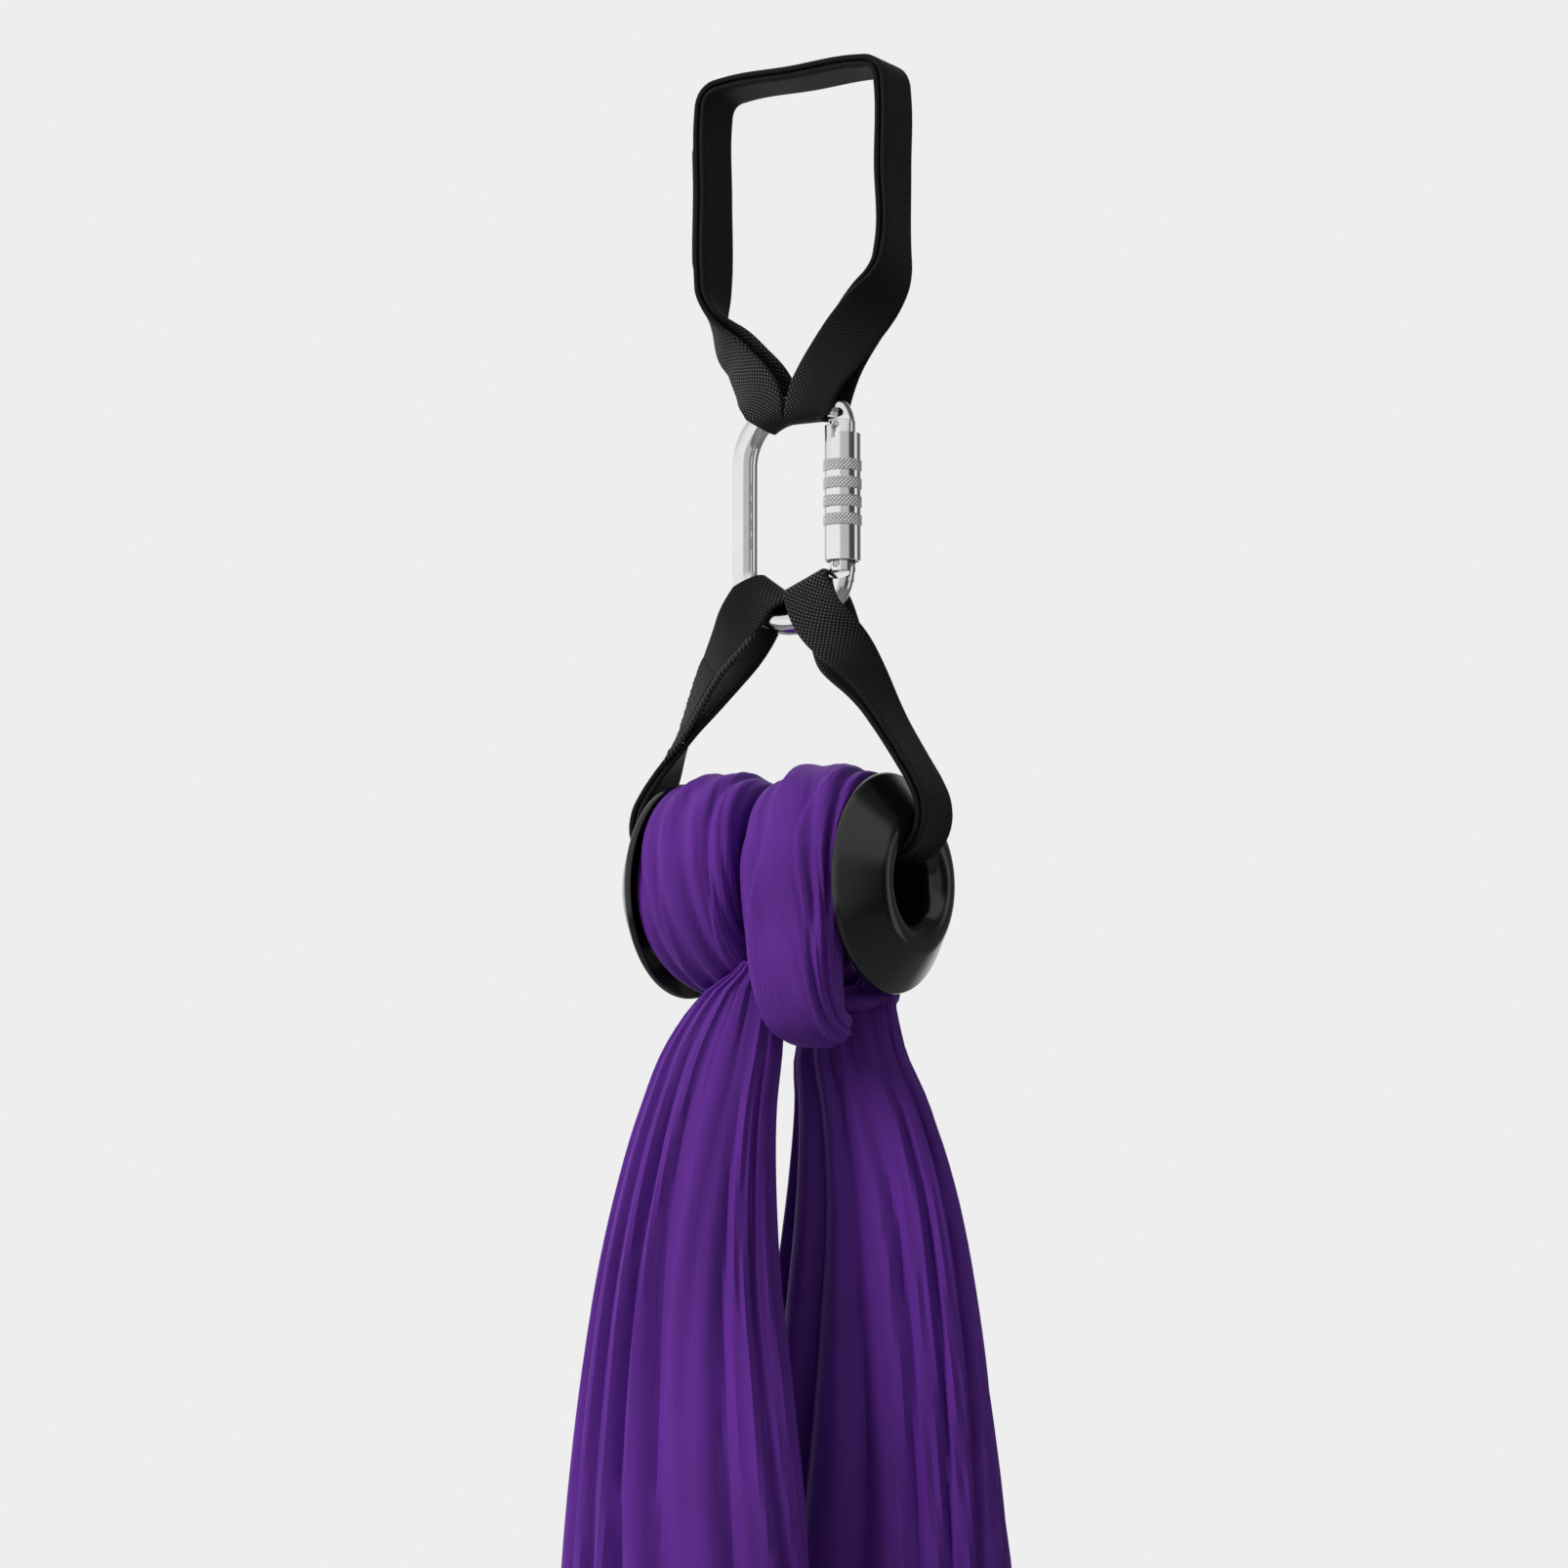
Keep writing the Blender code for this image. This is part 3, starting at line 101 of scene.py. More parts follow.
SPOOL_X = (CORE_LOW[0] + CORE_HIGH[0]) / 2
SPOOL_Z = (CORE_LOW[2] + CORE_HIGH[2]) / 2
CORE_RADIUS = CORE_HIGH[1]
RIM_RADIUS = FLANGE_HIGH[1]

# The carabiner's bends, its nose and tang, and the sleeve's steps, as the solids have them
SPINE_BEND_RADIUS = HALF_WIDTH
NOSE_BEND_RADIUS = 0.0115
TOE_BEND_RADIUS = 0.024
NOSE_SHOULDER_Z = -0.1554
NOSE_ARCH_RADIUS = 0.0032
TONGUE_THICKNESS = 0.0045
TONGUE_END_Z = -0.1632
NOTCH_HEIGHT = 0.0040
TANG_RADIUS = 0.0046
TANG_ROOT_LENGTH = 0.008
SHOULDER_RADIUS = 0.0071
FIT_GAP = 0.0003
SLEEVE_RADIUS = 0.0082
SLEEVE_BORE_RADIUS = 0.0061
SLEEVE_STEP_Z = -0.1638
SLEEVE_SLOT_WIDTH = 0.0016
SLEEVE_SLOT_END_Z = -0.1664
SLEEVE_EDGE_RADIUS = 0.00045
COUNTERBORE_RADIUS = 0.0072
COUNTERBORE_DEPTH = 0.0030
BAND_RADIUS = 0.0088
BAND_HEIGHT = 0.0053
BAND_PITCH = 0.00825
BAND_TOP_Z = -0.1757
BAND_COUNT = 4
# The knurl's diamonds: their height, how finely they are laid, how far a band is sunk in
# the sleeve, and the share of its height over which it rises at either end
KNURL_PITCH = 0.0018
KNURL_TOOTH_COLUMNS = 8
KNURL_ROWS = 26
KNURL_SINK = 0.0003
KNURL_END_SHARE = 0.10
# The gate bar under the sleeve, its slot for the tongue, and its holes
GATE_EDGE_RADIUS = 0.0006
GATE_SLOT_FLOOR_Z = -0.1641
SEAT_RADIUS = 0.0045
SEAT_TOP_Z = -0.1900
SEAT_END_Z = -0.2140
RING_GROOVE_RADIUS = 0.0052
RING_TOP_Z = -0.2192
RING_THICKNESS = 0.0010
LATCH_HOLE_RADIUS = 0.0016
RIVET_HOLE_RADIUS = 0.0018
# How finely round pieces are laid, and how near two points of the bar's route may be
GATE_STEPS = 96
SLEEVE_STEPS = 112
LEAST_SPACING = 0.0001

# The flange's section
BORE_RADIUS = 0.0175
CORE_INNER_RADIUS = 0.0215
CORE_HALF_LENGTH = 0.0505
SPIGOT_LENGTH = 0.0080
LIP_RADIUS = 0.0095
LIP_CENTRE_X = 0.0600
LIP_CENTRE_RHO = 0.0270
RIM_X = 0.0553
RIM_THICKNESS = 0.0030
RIM_EDGE = 0.0011
HUB_STEP_X = 0.0610
WALL_THICKNESS = 0.0030
FLANGE_STEPS = 160
FLANGE_SMOOTH_ANGLE = math.radians(40)

# Each sling's middle from its left eye to its right one: x, z, the quarter turn in
# degrees, half the distance between its plies, and how far the plies are cupped, as 1 / m
UPPER_ROUTE = (
    (-0.0156, -0.1510, 90, 0.0070, 0),
    (-0.0174, -0.1450, 86, 0.0068, 0),
    (-0.0209, -0.1380, 75, 0.0057, 0),
    (-0.0270, -0.1295, 62, 0.0042, 0),
    (-0.0327, -0.1222, 52, 0.0036, 0),
    (-0.0398, -0.1155, 44, 0.0030, 0),
    (-0.0452, -0.1075, 30, 0.0020, 0),
    (-0.0472, -0.1000, 15, 0.0017, 0),
    (-0.0481, -0.0930, 4, 0.0017, 0),
    (-0.0481, -0.0850, 0, 0.0017, 0),
    (-0.0481, -0.0450, 0, 0.0017, 0),
    (-0.0481, -0.0090, 0, 0.0017, 0),
    (-0.0475, -0.0040, 0, 0.0017, 0),
    (-0.0453, 0.0000, 0, 0.0017, 0),
    (-0.0415, 0.0023, 0, 0.0017, 0),
    (-0.0365, 0.0030, 0, 0.0017, 0),
    (0.0000, 0.0031, 0, 0.0017, 0),
    (0.0365, 0.0030, 0, 0.0017, 0),
    (0.0415, 0.0023, 0, 0.0017, 0),
    (0.0453, 0.0000, 0, 0.0017, 0),
    (0.0475, -0.0040, 0, 0.0017, 0),
    (0.0481, -0.0090, 0, 0.0017, 0),
    (0.0481, -0.0450, 0, 0.0017, 0),
    (0.0481, -0.0820, 0, 0.0017, 0),
    (0.0474, -0.0895, 6, 0.0017, 0),
    (0.0448, -0.0962, 18, 0.0017, 0),
    (0.0390, -0.1038, 38, 0.0018, 0),
    (0.0314, -0.1124, 57, 0.0021, 0),
    (0.0242, -0.1208, 72, 0.0028, 0),
    (0.0182, -0.1290, 82, 0.0042, 0),
    (0.0133, -0.1372, 88, 0.0060, 0),
    (0.0098, -0.1447, 90, 0.0072, 0),
    (0.0080, -0.1510, 90, 0.0072, 0),
)
LOWER_ROUTE = (
    (-0.0222, -0.2362, 90, 0.0073, 0),
    (-0.0266, -0.2428, 87, 0.0073, 0),
    (-0.0335, -0.2545, 70, 0.0068, 0),
    (-0.0418, -0.2660, 56, 0.0058, 0),
    (-0.0505, -0.2780, 48, 0.0040, 0),
    (-0.0596, -0.2910, 39, 0.0020, 0),
    (-0.0673, -0.3035, 27, 0.00145, 0),
    (-0.0732, -0.3140, 13, 0.00142, 0),
    (-0.0783, -0.3230, 5, 0.0015, 0),
    (-0.0817, -0.3312, 0, 0.0017, 0),
    (-0.0828, -0.3390, 0, 0.0016, 4),
    (-0.0803, -0.3458, 0, 0.0015, 16),
    (-0.0750, -0.3505, 0, 0.0015, 36),
    (-0.0678, -0.3526, 0, 0.0014, 58),
    (-0.0590, -0.3526, 0, 0.0014, 69.4),
    (-0.0075, -0.3526, 0, 0.0014, 69.4),
    (0.0440, -0.3526, 0, 0.0014, 69.4),
    (0.0528, -0.3526, 0, 0.0014, 58),
    (0.0600, -0.3505, 0, 0.0015, 36),
    (0.0653, -0.3458, 0, 0.0015, 16),
    (0.0679, -0.3392, 0, 0.0016, 4),
    (0.0674, -0.3312, 0, 0.0017, 0),
    (0.0637, -0.3228, 0, 0.0017, 0),
    (0.0580, -0.3137, 0, 0.0017, 0),
    (0.0520, -0.3046, 1, 0.0017, 0),
    (0.0460, -0.2956, 3, 0.0018, 0),
    (0.0400, -0.2864, 8, 0.0021, 0),
    (0.0338, -0.2776, 18, 0.0028, 0),
    (0.0270, -0.2688, 34, 0.0040, 0),
    (0.0203, -0.2600, 56, 0.0057, 0),
    (0.0150, -0.2520, 74, 0.0075, 0),
    (0.0108, -0.2440, 83, 0.0083, 0),
    (0.0072, -0.2360, 84, 0.0084, 0),
    (0.0058, -0.2330, 84, 0.0084, 0),
)
# Each sling's eyes: their place along the bow, a slide and a lift off it, the share of the
# webbing's width that the fold keeps, and how straight the fold is, 0 to 1
UPPER_EYES = ((-0.0098, 0, 0, 0.62, 0), (0.0085, 0, 0, 0.98, 0))
LOWER_EYES = ((-0.0159, -0.0013, 0.0059, 0.86, 1), (0.0125, 0.0036, 0.0083, 0.83, 1))
# The webbing's section, and how finely it is laid
WEB_WIDTH = 0.025
PLY_EDGE_RADIUS = 0.0011
PLY_FACE_STEPS = 10
PLY_EDGE_STEPS = 4
EYE_STEPS = 22
STRAP_STEP = 0.0020
# A ply that is cupped less than this is laid flat
LEAST_CUP = 1
# The room between an eye and its bar, and how far from the eye a leg begins to narrow
EYE_GAP = 0.00025
EYE_TAPER = 0.016


# ---- The sizes and colours a user would change

class SlingSettings(bpy.types.PropertyGroup):
    """Sizes and colours of the webbing."""
    ply_thickness: FloatProperty(
        name="Ply thickness", description="Thickness of one ply of webbing",
        default=0.0026, min=0.001, max=0.004, unit="LENGTH")
    yarn_pitch: FloatProperty(
        name="Yarn pitch", description="Distance between the yarns across the webbing",
        default=0.00112, min=0.0005, max=0.004, unit="LENGTH")
    web_colour: FloatVectorProperty(
        name="Webbing", description="Colour of the webbing's yarns", subtype="COLOR",
        default=(0.0055, 0.0055, 0.0057), min=0, max=1)
    # The yarn crowns' colour is a painted highlight, shown on the crowns near the eyes
    crown_highlight_colour: FloatVectorProperty(
        name="Yarn crowns", description="Colour where a yarn rises and is rubbed",
        subtype="COLOR", default=(0.150, 0.150, 0.150), min=0, max=1)
    thread_colour: FloatVectorProperty(
        name="Thread", description="Colour of the sewing thread", subtype="COLOR",
        default=(0.010, 0.010, 0.011), min=0, max=1)


class CarabinerSettings(bpy.types.PropertyGroup):
    """Finish and knurl of the carabiner."""
    steel_colour: FloatVectorProperty(
        name="Steel", description="Colour of the polished steel", subtype="COLOR",
        default=(0.82, 0.82, 0.83), min=0, max=1)
    steel_roughness: FloatProperty(
        name="Polish", description="Roughness of the polished steel",
        default=0.10, min=0, max=1, subtype="FACTOR")
    knurl_teeth: IntProperty(
        name="Knurl teeth", description="Teeth round each knurled band", default=28,
        min=12, max=60)
    knurl_depth: FloatProperty(
        name="Knurl depth", description="Depth of the knurl's grooves",
        default=0.00060, min=0, max=0.001, unit="LENGTH")


class SpoolSettings(bpy.types.PropertyGroup):
    """Finish of the spool."""
    spool_colour: FloatVectorProperty(
        name="Spool", description="Colour of the glossy spool", subtype="COLOR",
        default=(0.0062, 0.0062, 0.0062), min=0, max=1)
    spool_roughness: FloatProperty(
        name="Gloss", description="Roughness of the glossy spool",
        default=0.17, min=0, max=1, subtype="FACTOR")


class FabricSettings(bpy.types.PropertyGroup):
    """Sizes and colour of the fabric."""
    silk_colour: FloatVectorProperty(
        name="Silk", description="Colour of the fabric", subtype="COLOR",
        default=(0.158, 0.036, 0.370), min=0, max=1)
    cut_width: FloatProperty(
        name="Cut width", description="Width of the fabric before it is gathered",
        default=1.50, min=0.5, max=3, unit="LENGTH")
    cut_length: FloatProperty(
        name="Cut length", description="Length of the fabric before it is hung",
        default=4.50, min=1, max=20, unit="LENGTH")
    hitch_length: FloatProperty(
        name="Length in the hitch", description="Length of the fabric round the spool",
        default=0.82, min=0.2, max=2, unit="LENGTH")
    thickness: FloatProperty(
        name="Fabric thickness", description="Thickness of one layer of the fabric",
        default=0.0006, min=0.0002, max=0.002, unit="LENGTH")


class StageSettings(bpy.types.PropertyGroup):
    """Light and background."""
    background: FloatProperty(
        name="Background", description="How pale the background is, 1 for white",
        default=0.855, min=0, max=1, subtype="FACTOR")
    key_power: FloatProperty(
        name="Key light", description="Power of the main light in watts", default=40,
        min=0, max=1000)
    fill_power: FloatProperty(
        name="Fill light", description="Power of the fill light in watts", default=2,
        min=0, max=1000)
    focal_length: FloatProperty(
        name="Focal length", description="The camera's focal length in millimetres",
        default=87.09, min=20, max=300)


# ---- Mesh helpers

def sharpen(mesh, angle=SMOOTH_ANGLE):
    mesh.shade_smooth()
    mesh.set_sharp_from_angle(angle=angle)


def object_from(name, bm, smooth=True):
    mesh = bpy.data.meshes.new(name)
    bm.to_mesh(mesh)
    bm.free()
    obj = bpy.data.objects.new(name, mesh)
    bpy.context.scene.collection.objects.link(obj)
    if smooth:
        sharpen(mesh)
    return obj


def dress(obj, material, slot, body, *nodes):
    """Gives a piece its finish, its body, and the solids that it stands for."""
    obj.data.materials.clear()
    obj.data.materials.append(material)
    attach(obj, body)
    if nodes:
        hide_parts(*nodes)
    return obj


def woven_grid(name, places, uvs=None, closed=(False, False), caps=False):
    """A grid of faces laid through PLACES, an array of rows, columns and three axes.

    CLOSED says whether the columns and the rows join up; UVS are metres on the cloth."""
    rows, columns = places.shape[0] - 1, places.shape[1] - 1
    bm = bmesh.new()
    layer = bm.loops.layers.uv.new("UVMap")
    bmesh.ops.create_grid(bm, x_segments=columns, y_segments=rows, size=0.5)
    spots = {}
    for vert in bm.verts:
        column = round((vert.co.x + 0.5) * columns)
        row = round((vert.co.y + 0.5) * rows)
        spots[vert] = (row, column)
        vert.co = places[row, column]
    if uvs is not None:
        for face in bm.faces:
            for loop in face.loops:
                loop[layer].uv = uvs[spots[loop.vert]]
    if any(closed):
        bmesh.ops.remove_doubles(bm, verts=bm.verts, dist=WELD)
    if caps:
        bmesh.ops.holes_fill(bm, edges=[edge for edge in bm.edges if edge.is_boundary])
    bmesh.ops.recalc_face_normals(bm, faces=bm.faces)
    return object_from(name, bm)


def lathe(name, profile, steps, closed=True):
    """A profile of radius and height turned once about Z."""
    bm = bmesh.new()
    verts = [bm.verts.new((radius, 0, height)) for radius, height in profile]
    pairs = list(zip(verts, verts[1:] + verts[:1]))
    edges = [bm.edges.new(pair) for pair in (pairs if closed else pairs[:-1])]
    bmesh.ops.spin(bm, geom=verts + edges, cent=(0, 0, 0), axis=(0, 0, 1), angle=TURN,
                   steps=steps, use_merge=True)
    bmesh.ops.remove_doubles(bm, verts=bm.verts, dist=WELD)
    bmesh.ops.recalc_face_normals(bm, faces=bm.faces)
    return object_from(name, bm)


def keep_modified(obj):
    """Puts what a piece's modifiers make into its mesh, and takes them off."""
    graph = bpy.context.evaluated_depsgraph_get()
    mesh = bpy.data.meshes.new_from_object(obj.evaluated_get(graph))
    obj.modifiers.clear()
    old = obj.data
    obj.data = mesh
    bpy.data.meshes.remove(old)


def cut(target, cutter, operation="DIFFERENCE"):
    """Cuts TARGET with CUTTER, or joins them, and removes the cutter."""
    tool = target.modifiers.new("cut", "BOOLEAN")
    tool.solver = "EXACT"
    tool.operation = operation
    tool.object = cutter
    keep_modified(target)
    bpy.data.objects.remove(cutter)


def joined(name, pieces):
    """One piece made of several, which are removed."""
    bm = bmesh.new()
    for piece in pieces:
        mesh = piece.data
        bm.from_mesh(mesh)
        bpy.data.objects.remove(piece)
        bpy.data.meshes.remove(mesh)
    return object_from(name, bm)


def block(low, high):
    """A box cutter between two corners."""
    bm = bmesh.new()
    bmesh.ops.create_cube(bm, size=1)
    size = Vector(high) - Vector(low)
    bmesh.ops.scale(bm, vec=size, verts=bm.verts)
    bmesh.ops.translate(bm, vec=(Vector(low) + Vector(high)) / 2, verts=bm.verts)
    return object_from("cutter", bm, smooth=False)


def peg(centre, radius, length, steps=48):
    """A round cutter that runs front to back."""
    bm = bmesh.new()
    bmesh.ops.create_cone(bm, cap_ends=True, segments=steps, radius1=radius, radius2=radius,
                          depth=length)
    bmesh.ops.rotate(bm, matrix=Matrix.Rotation(math.pi / 2, 3, "X"), verts=bm.verts)
    bmesh.ops.translate(bm, vec=centre, verts=bm.verts)
    return object_from("cutter", bm, smooth=False)


def settle(obj, matrix):
    """Puts a piece's place in its mesh, so that the object stays at the origin."""
    obj.data.transform(matrix)
    obj.data.update()


def smoothstep(value, low, high):
    share = np.clip((value - low) / (high - low), 0, 1)
    return share * share * (3 - 2 * share)


def arc(centre, radius, start, end, steps):
    angles = [start + (end - start) * index / steps for index in range(steps + 1)]
    return [(centre[0] + radius * math.cos(angle), centre[1] + radius * math.sin(angle))
            for angle in angles]


def carried(table, step, lead=2):
    """A table's rows carried through smoothly, STEP apart along its first LEAD columns."""
    knots = np.array(table, float)
    spans = np.linalg.norm(np.diff(knots[:, :lead], axis=0), axis=1)
    at = np.concatenate(([0], np.cumsum(spans)))
    slopes = np.gradient(knots, at, axis=0)
    where = np.linspace(0, at[-1], int(math.ceil(at[-1] / step)) + 1)
    index = np.clip(np.searchsorted(at, where, side="right") - 1, 0, len(at) - 2)
    span = (at[index + 1] - at[index])[:, None]
    t = (where - at[index])[:, None] / span
    return ((2 * t ** 3 - 3 * t ** 2 + 1) * knots[index]
            + (t ** 3 - 2 * t ** 2 + t) * span * slopes[index]
            + (3 * t ** 2 - 2 * t ** 3) * knots[index + 1]
            + (t ** 3 - t ** 2) * span * slopes[index + 1])


def unit(vectors):
    return vectors / np.linalg.norm(vectors, axis=-1, keepdims=True)


def row_lengths(points):
    """How far along a line each of its points is."""
    steps = np.linalg.norm(np.diff(points, axis=0), axis=1)
    return np.concatenate(([0], np.cumsum(steps)))


# ---- The webbing

def bow(s, upper):
    """The bar's centre and its way into the window, S along the bow from its flat's start."""
    right_radius = NOSE_BEND_RADIUS if upper else TOE_BEND_RADIUS
    flat = 2 * HALF_WIDTH - SPINE_BEND_RADIUS - right_radius
    left = SPINE_BEND_RADIUS - HALF_WIDTH
    sign = -1 if upper else 1
    height = TOP_Z if upper else BOTTOM_Z
    if s < 0:
        angle, radius, x = s / SPINE_BEND_RADIUS, SPINE_BEND_RADIUS, left
    elif s > flat:
        angle, radius, x = (s - flat) / right_radius, right_radius, HALF_WIDTH - right_radius
    else:
        return np.array((BODY_X + left + s, 0, height)), np.array((0, 0, sign))
    centre = np.array((BODY_X + x + radius * math.sin(angle), 0,
                       height + sign * radius * (1 - math.cos(angle))))
    return centre, np.array((-math.sin(angle), 0, sign * math.cos(angle)))


def ply_section(width, thickness):
    """The webbing's section: flat faces and round selvedges, as across and out."""
    half, deep = width / 2 - PLY_EDGE_RADIUS, thickness / 2
    faces = np.linspace(half, -half, PLY_FACE_STEPS + 1)
    edge = np.linspace(0, math.pi, PLY_EDGE_STEPS + 2)[1:-1]
    section = [(a, deep) for a in faces]
    section += [(-half - PLY_EDGE_RADIUS * math.sin(t), deep * math.cos(t)) for t in edge]
    section += [(a, -deep) for a in faces[::-1]]
    section += [(half + PLY_EDGE_RADIUS * math.sin(t), -deep * math.cos(t)) for t in edge]
    return np.array(section + section[:1])


def sling_rows(route, outward):
    """A sling's middle step by step, its way out and along, its gap and its cupping.

    OUTWARD is 1 for a route that runs clockwise as seen from the front, else -1."""
    rows = carried(route, STRAP_STEP)
    points = np.zeros((len(rows), 3))
    points[:, 0], points[:, 2] = rows[:, 0], rows[:, 1]
    along = unit(np.gradient(points, axis=0))
    plane = np.stack((-along[:, 2], np.zeros(len(rows)), along[:, 0]), axis=1) * outward
    turn = np.radians(rows[:, 2])[:, None]
    normal = plane * np.cos(turn) - np.array((0, 1, 0)) * np.sin(turn)
    return points, normal, along, rows[:, 3], np.maximum(rows[:, 4], 0)


def ply_place(place, normal, side, across, out, cup):
    """A point of the webbing's section, bent round an axis below it where it is cupped."""
    if cup < LEAST_CUP:
        return place + normal * out + side * across
    radius = 1 / cup - out
    angle = across * cup
    return (place + side * (radius * math.sin(angle))
            + normal * (out + radius * (1 - math.cos(angle))))


def fold_place(eye, across, upper, reach):
    """The middle of the eye's fold on the bow's inner side, and its way into the window."""
    start, slide, lift, share, straight = eye
    centre, inward = bow(start + slide + across * share, upper)
    middle, into = bow(start, upper)
    sign = -1 if upper else 1
    tangent = np.array((sign * into[2], 0, -sign * into[0]))
    followed = centre + inward * (reach + lift)
    level = middle + into * (reach + lift) + tangent * (slide + across * share)
    way = inward * (1 - straight) + into * straight
    return followed * (1 - straight) + level * straight, way


def sling_band(route, outward, eyes, upper, thickness):
    """A doubled sling's sections in order: two plies, and an eye round the bar each end."""
    points, normal, along, gaps, cups = sling_rows(route, outward)
    reach = BAR_RADIUS + EYE_GAP + thickness / 2
    section = ply_section(WEB_WIDTH, thickness)
    lengths = row_lengths(points)
    kept = np.ones(len(points))
    for eye, far in ((eyes[0], lengths), (eyes[1], lengths[-1] - lengths)):
        kept -= (1 - eye[3]) / 2 * np.clip(1 - far / EYE_TAPER, 0, 1) ** 2

    def leg_ring(index, ply):
        side = np.cross(along[index], normal[index])
        return [ply_place(points[index], normal[index], side, across * kept[index],
                          ply * (gaps[index] + out), cups[index]) for across, out in section]

    def eye_ring(eye, index, ply, turn):
        side = np.cross(along[index], normal[index])
        front = normal[index] * ply
        ring = []
        for across, out in section:
            base = points[index] + side * across * kept[index]
            fold, inward = fold_place(eye, across * np.sign(side[0]), upper, reach)
            swing = fold - base
            swing[1] = 0
            way = (front * (math.cos(turn) * np.linalg.norm(swing))
                   + inward * (math.sin(turn) * gaps[index]))
            ring.append(base + front * (gaps[index] * math.cos(turn)) + swing * math.sin(turn)
                        + unit(way) * out)
        return ring

    last = len(points) - 1
    turns = [math.pi * step / EYE_STEPS for step in range(1, EYE_STEPS)]
    rings = [leg_ring(index, 1) for index in range(last + 1)]
    rings += [eye_ring(eyes[1], last, 1, turn) for turn in turns]
    rings += [leg_ring(index, -1) for index in range(last, -1, -1)]
    rings += [eye_ring(eyes[0], 0, -1, turn) for turn in turns]
    rings.append(rings[0])
    return np.array(rings)


def cloth_uvs(places):
    """Metres across and along a grid, measured along its own rows and columns."""
    across = np.linalg.norm(np.diff(places, axis=1), axis=2).mean(axis=0)
    along = np.linalg.norm(np.diff(places, axis=0), axis=2).mean(axis=1)
    u = np.concatenate(([0], np.cumsum(across)))
    v = np.concatenate(([0], np.cumsum(along)))
    return np.stack(np.meshgrid(u, v), axis=-1)


def sling(name, route, outward, eyes, upper, material, body, *nodes):
    """A doubled sling as one closed band."""
    thickness = bpy.context.scene.silks_sling.ply_thickness
    rings = sling_band(route, outward, eyes, upper, thickness)
    band = woven_grid(name, rings, cloth_uvs(rings), closed=(True, True))
    return dress(band, material, "black_webbing", body, *nodes)


# Where along its sling each overlap lies, and how far it stands off the ply
SPLICE_SPANS = {"upper_sling": (0.078, 0.138), "lower_sling": (0.036, 0.084)}
SPLICE_WIDTH = 0.0246
SPLICE_STAND = 0.0007
SPLICE_TAPER = 0.005
STITCH_LENGTH = 0.0026
STITCH_PITCH = STITCH_LENGTH * 1.25
STITCH_RADIUS = 0.00028
STITCH_ROWS = 5
STITCH_FIELD_WIDTH = SPLICE_WIDTH * 0.86


def splice_stand(length, span):
    """How far the overlap stands off the ply: it thins out towards both of its ends."""
    ends = smoothstep(min(length - span[0], span[1] - length), 0, SPLICE_TAPER)
    return SPLICE_STAND * float(ends)


def splice(name, route, outward, span, material, body, *nodes):
    """The overlap that closes a sling's loop, laid on its outer ply."""
    thickness = bpy.context.scene.silks_sling.ply_thickness
    points, normal, along, gaps, _ = sling_rows(route, outward)
    lengths = row_lengths(points)
    section = ply_section(SPLICE_WIDTH, thickness)
    chosen = [i for i in range(len(points)) if span[0] <= lengths[i] <= span[1]]
    rings = []
    for index in chosen:
        side = np.cross(along[index], normal[index])
        out = gaps[index] + splice_stand(lengths[index], span)
        rings.append([points[index] + normal[index] * (out + o) + side * a for a, o in section])
    rings = np.array(rings)
    patch = woven_grid(name, rings, cloth_uvs(rings), closed=(True, False), caps=True)
    sharpen(patch.data)
    return dress(patch, material, "black_webbing", body, *nodes)


def stitches(name, route, outward, span, material, body):
    """Rows of short stitches, each a small rounded thread sunk at both ends."""
    thickness = bpy.context.scene.silks_sling.ply_thickness
    points, normal, along, gaps, _ = sling_rows(route, outward)
    lengths = row_lengths(points)
    bm = bmesh.new()
    starts = np.arange(span[0] + STITCH_LENGTH, span[1] - 2 * STITCH_LENGTH, STITCH_PITCH)
    for start in starts:
        index = int(np.searchsorted(lengths, start + STITCH_LENGTH / 2))
        side = np.cross(along[index], normal[index])
        basis = Matrix((Vector(side), Vector(normal[index]), Vector(along[index]))).transposed()
        for row in range(STITCH_ROWS):
            across = STITCH_FIELD_WIDTH * (row / (STITCH_ROWS - 1) - 0.5)
            lift = gaps[index] + thickness / 2 + splice_stand(lengths[index], span)
            centre = points[index] + normal[index] * lift + side * across
            made = bmesh.ops.create_icosphere(bm, subdivisions=1, radius=1)
            place = (Matrix.Translation(Vector(centre)) @ basis.to_4x4()
                     @ Matrix.Diagonal((STITCH_RADIUS, STITCH_RADIUS, STITCH_LENGTH / 2, 1)))
            bmesh.ops.transform(bm, matrix=place, verts=made["verts"])
    return dress(object_from(name, bm), material, "black_webbing", body)


# The corded edge: where along the sling it runs, and the length of its strands' lay
EDGE_CORD_SPAN = (0.010, 0.086)
EDGE_CORD_RADIUS = 0.0016
EDGE_CORD_STRANDS = 2
EDGE_CORD_LAY = 0.0048
EDGE_CORD_STEP = 0.0004
EDGE_CORD_SIDES = 8
# How far it thins out at its top and at its foot, and the share of its radius left there
EDGE_CORD_TAPERS = (0.006, 0.012)
EDGE_CORD_END_SHARE = 0.3
# A strand's distance from the cord's middle, and its own radius
STRAND_OFFSET = EDGE_CORD_RADIUS * 0.52
STRAND_RADIUS = EDGE_CORD_RADIUS * 0.62


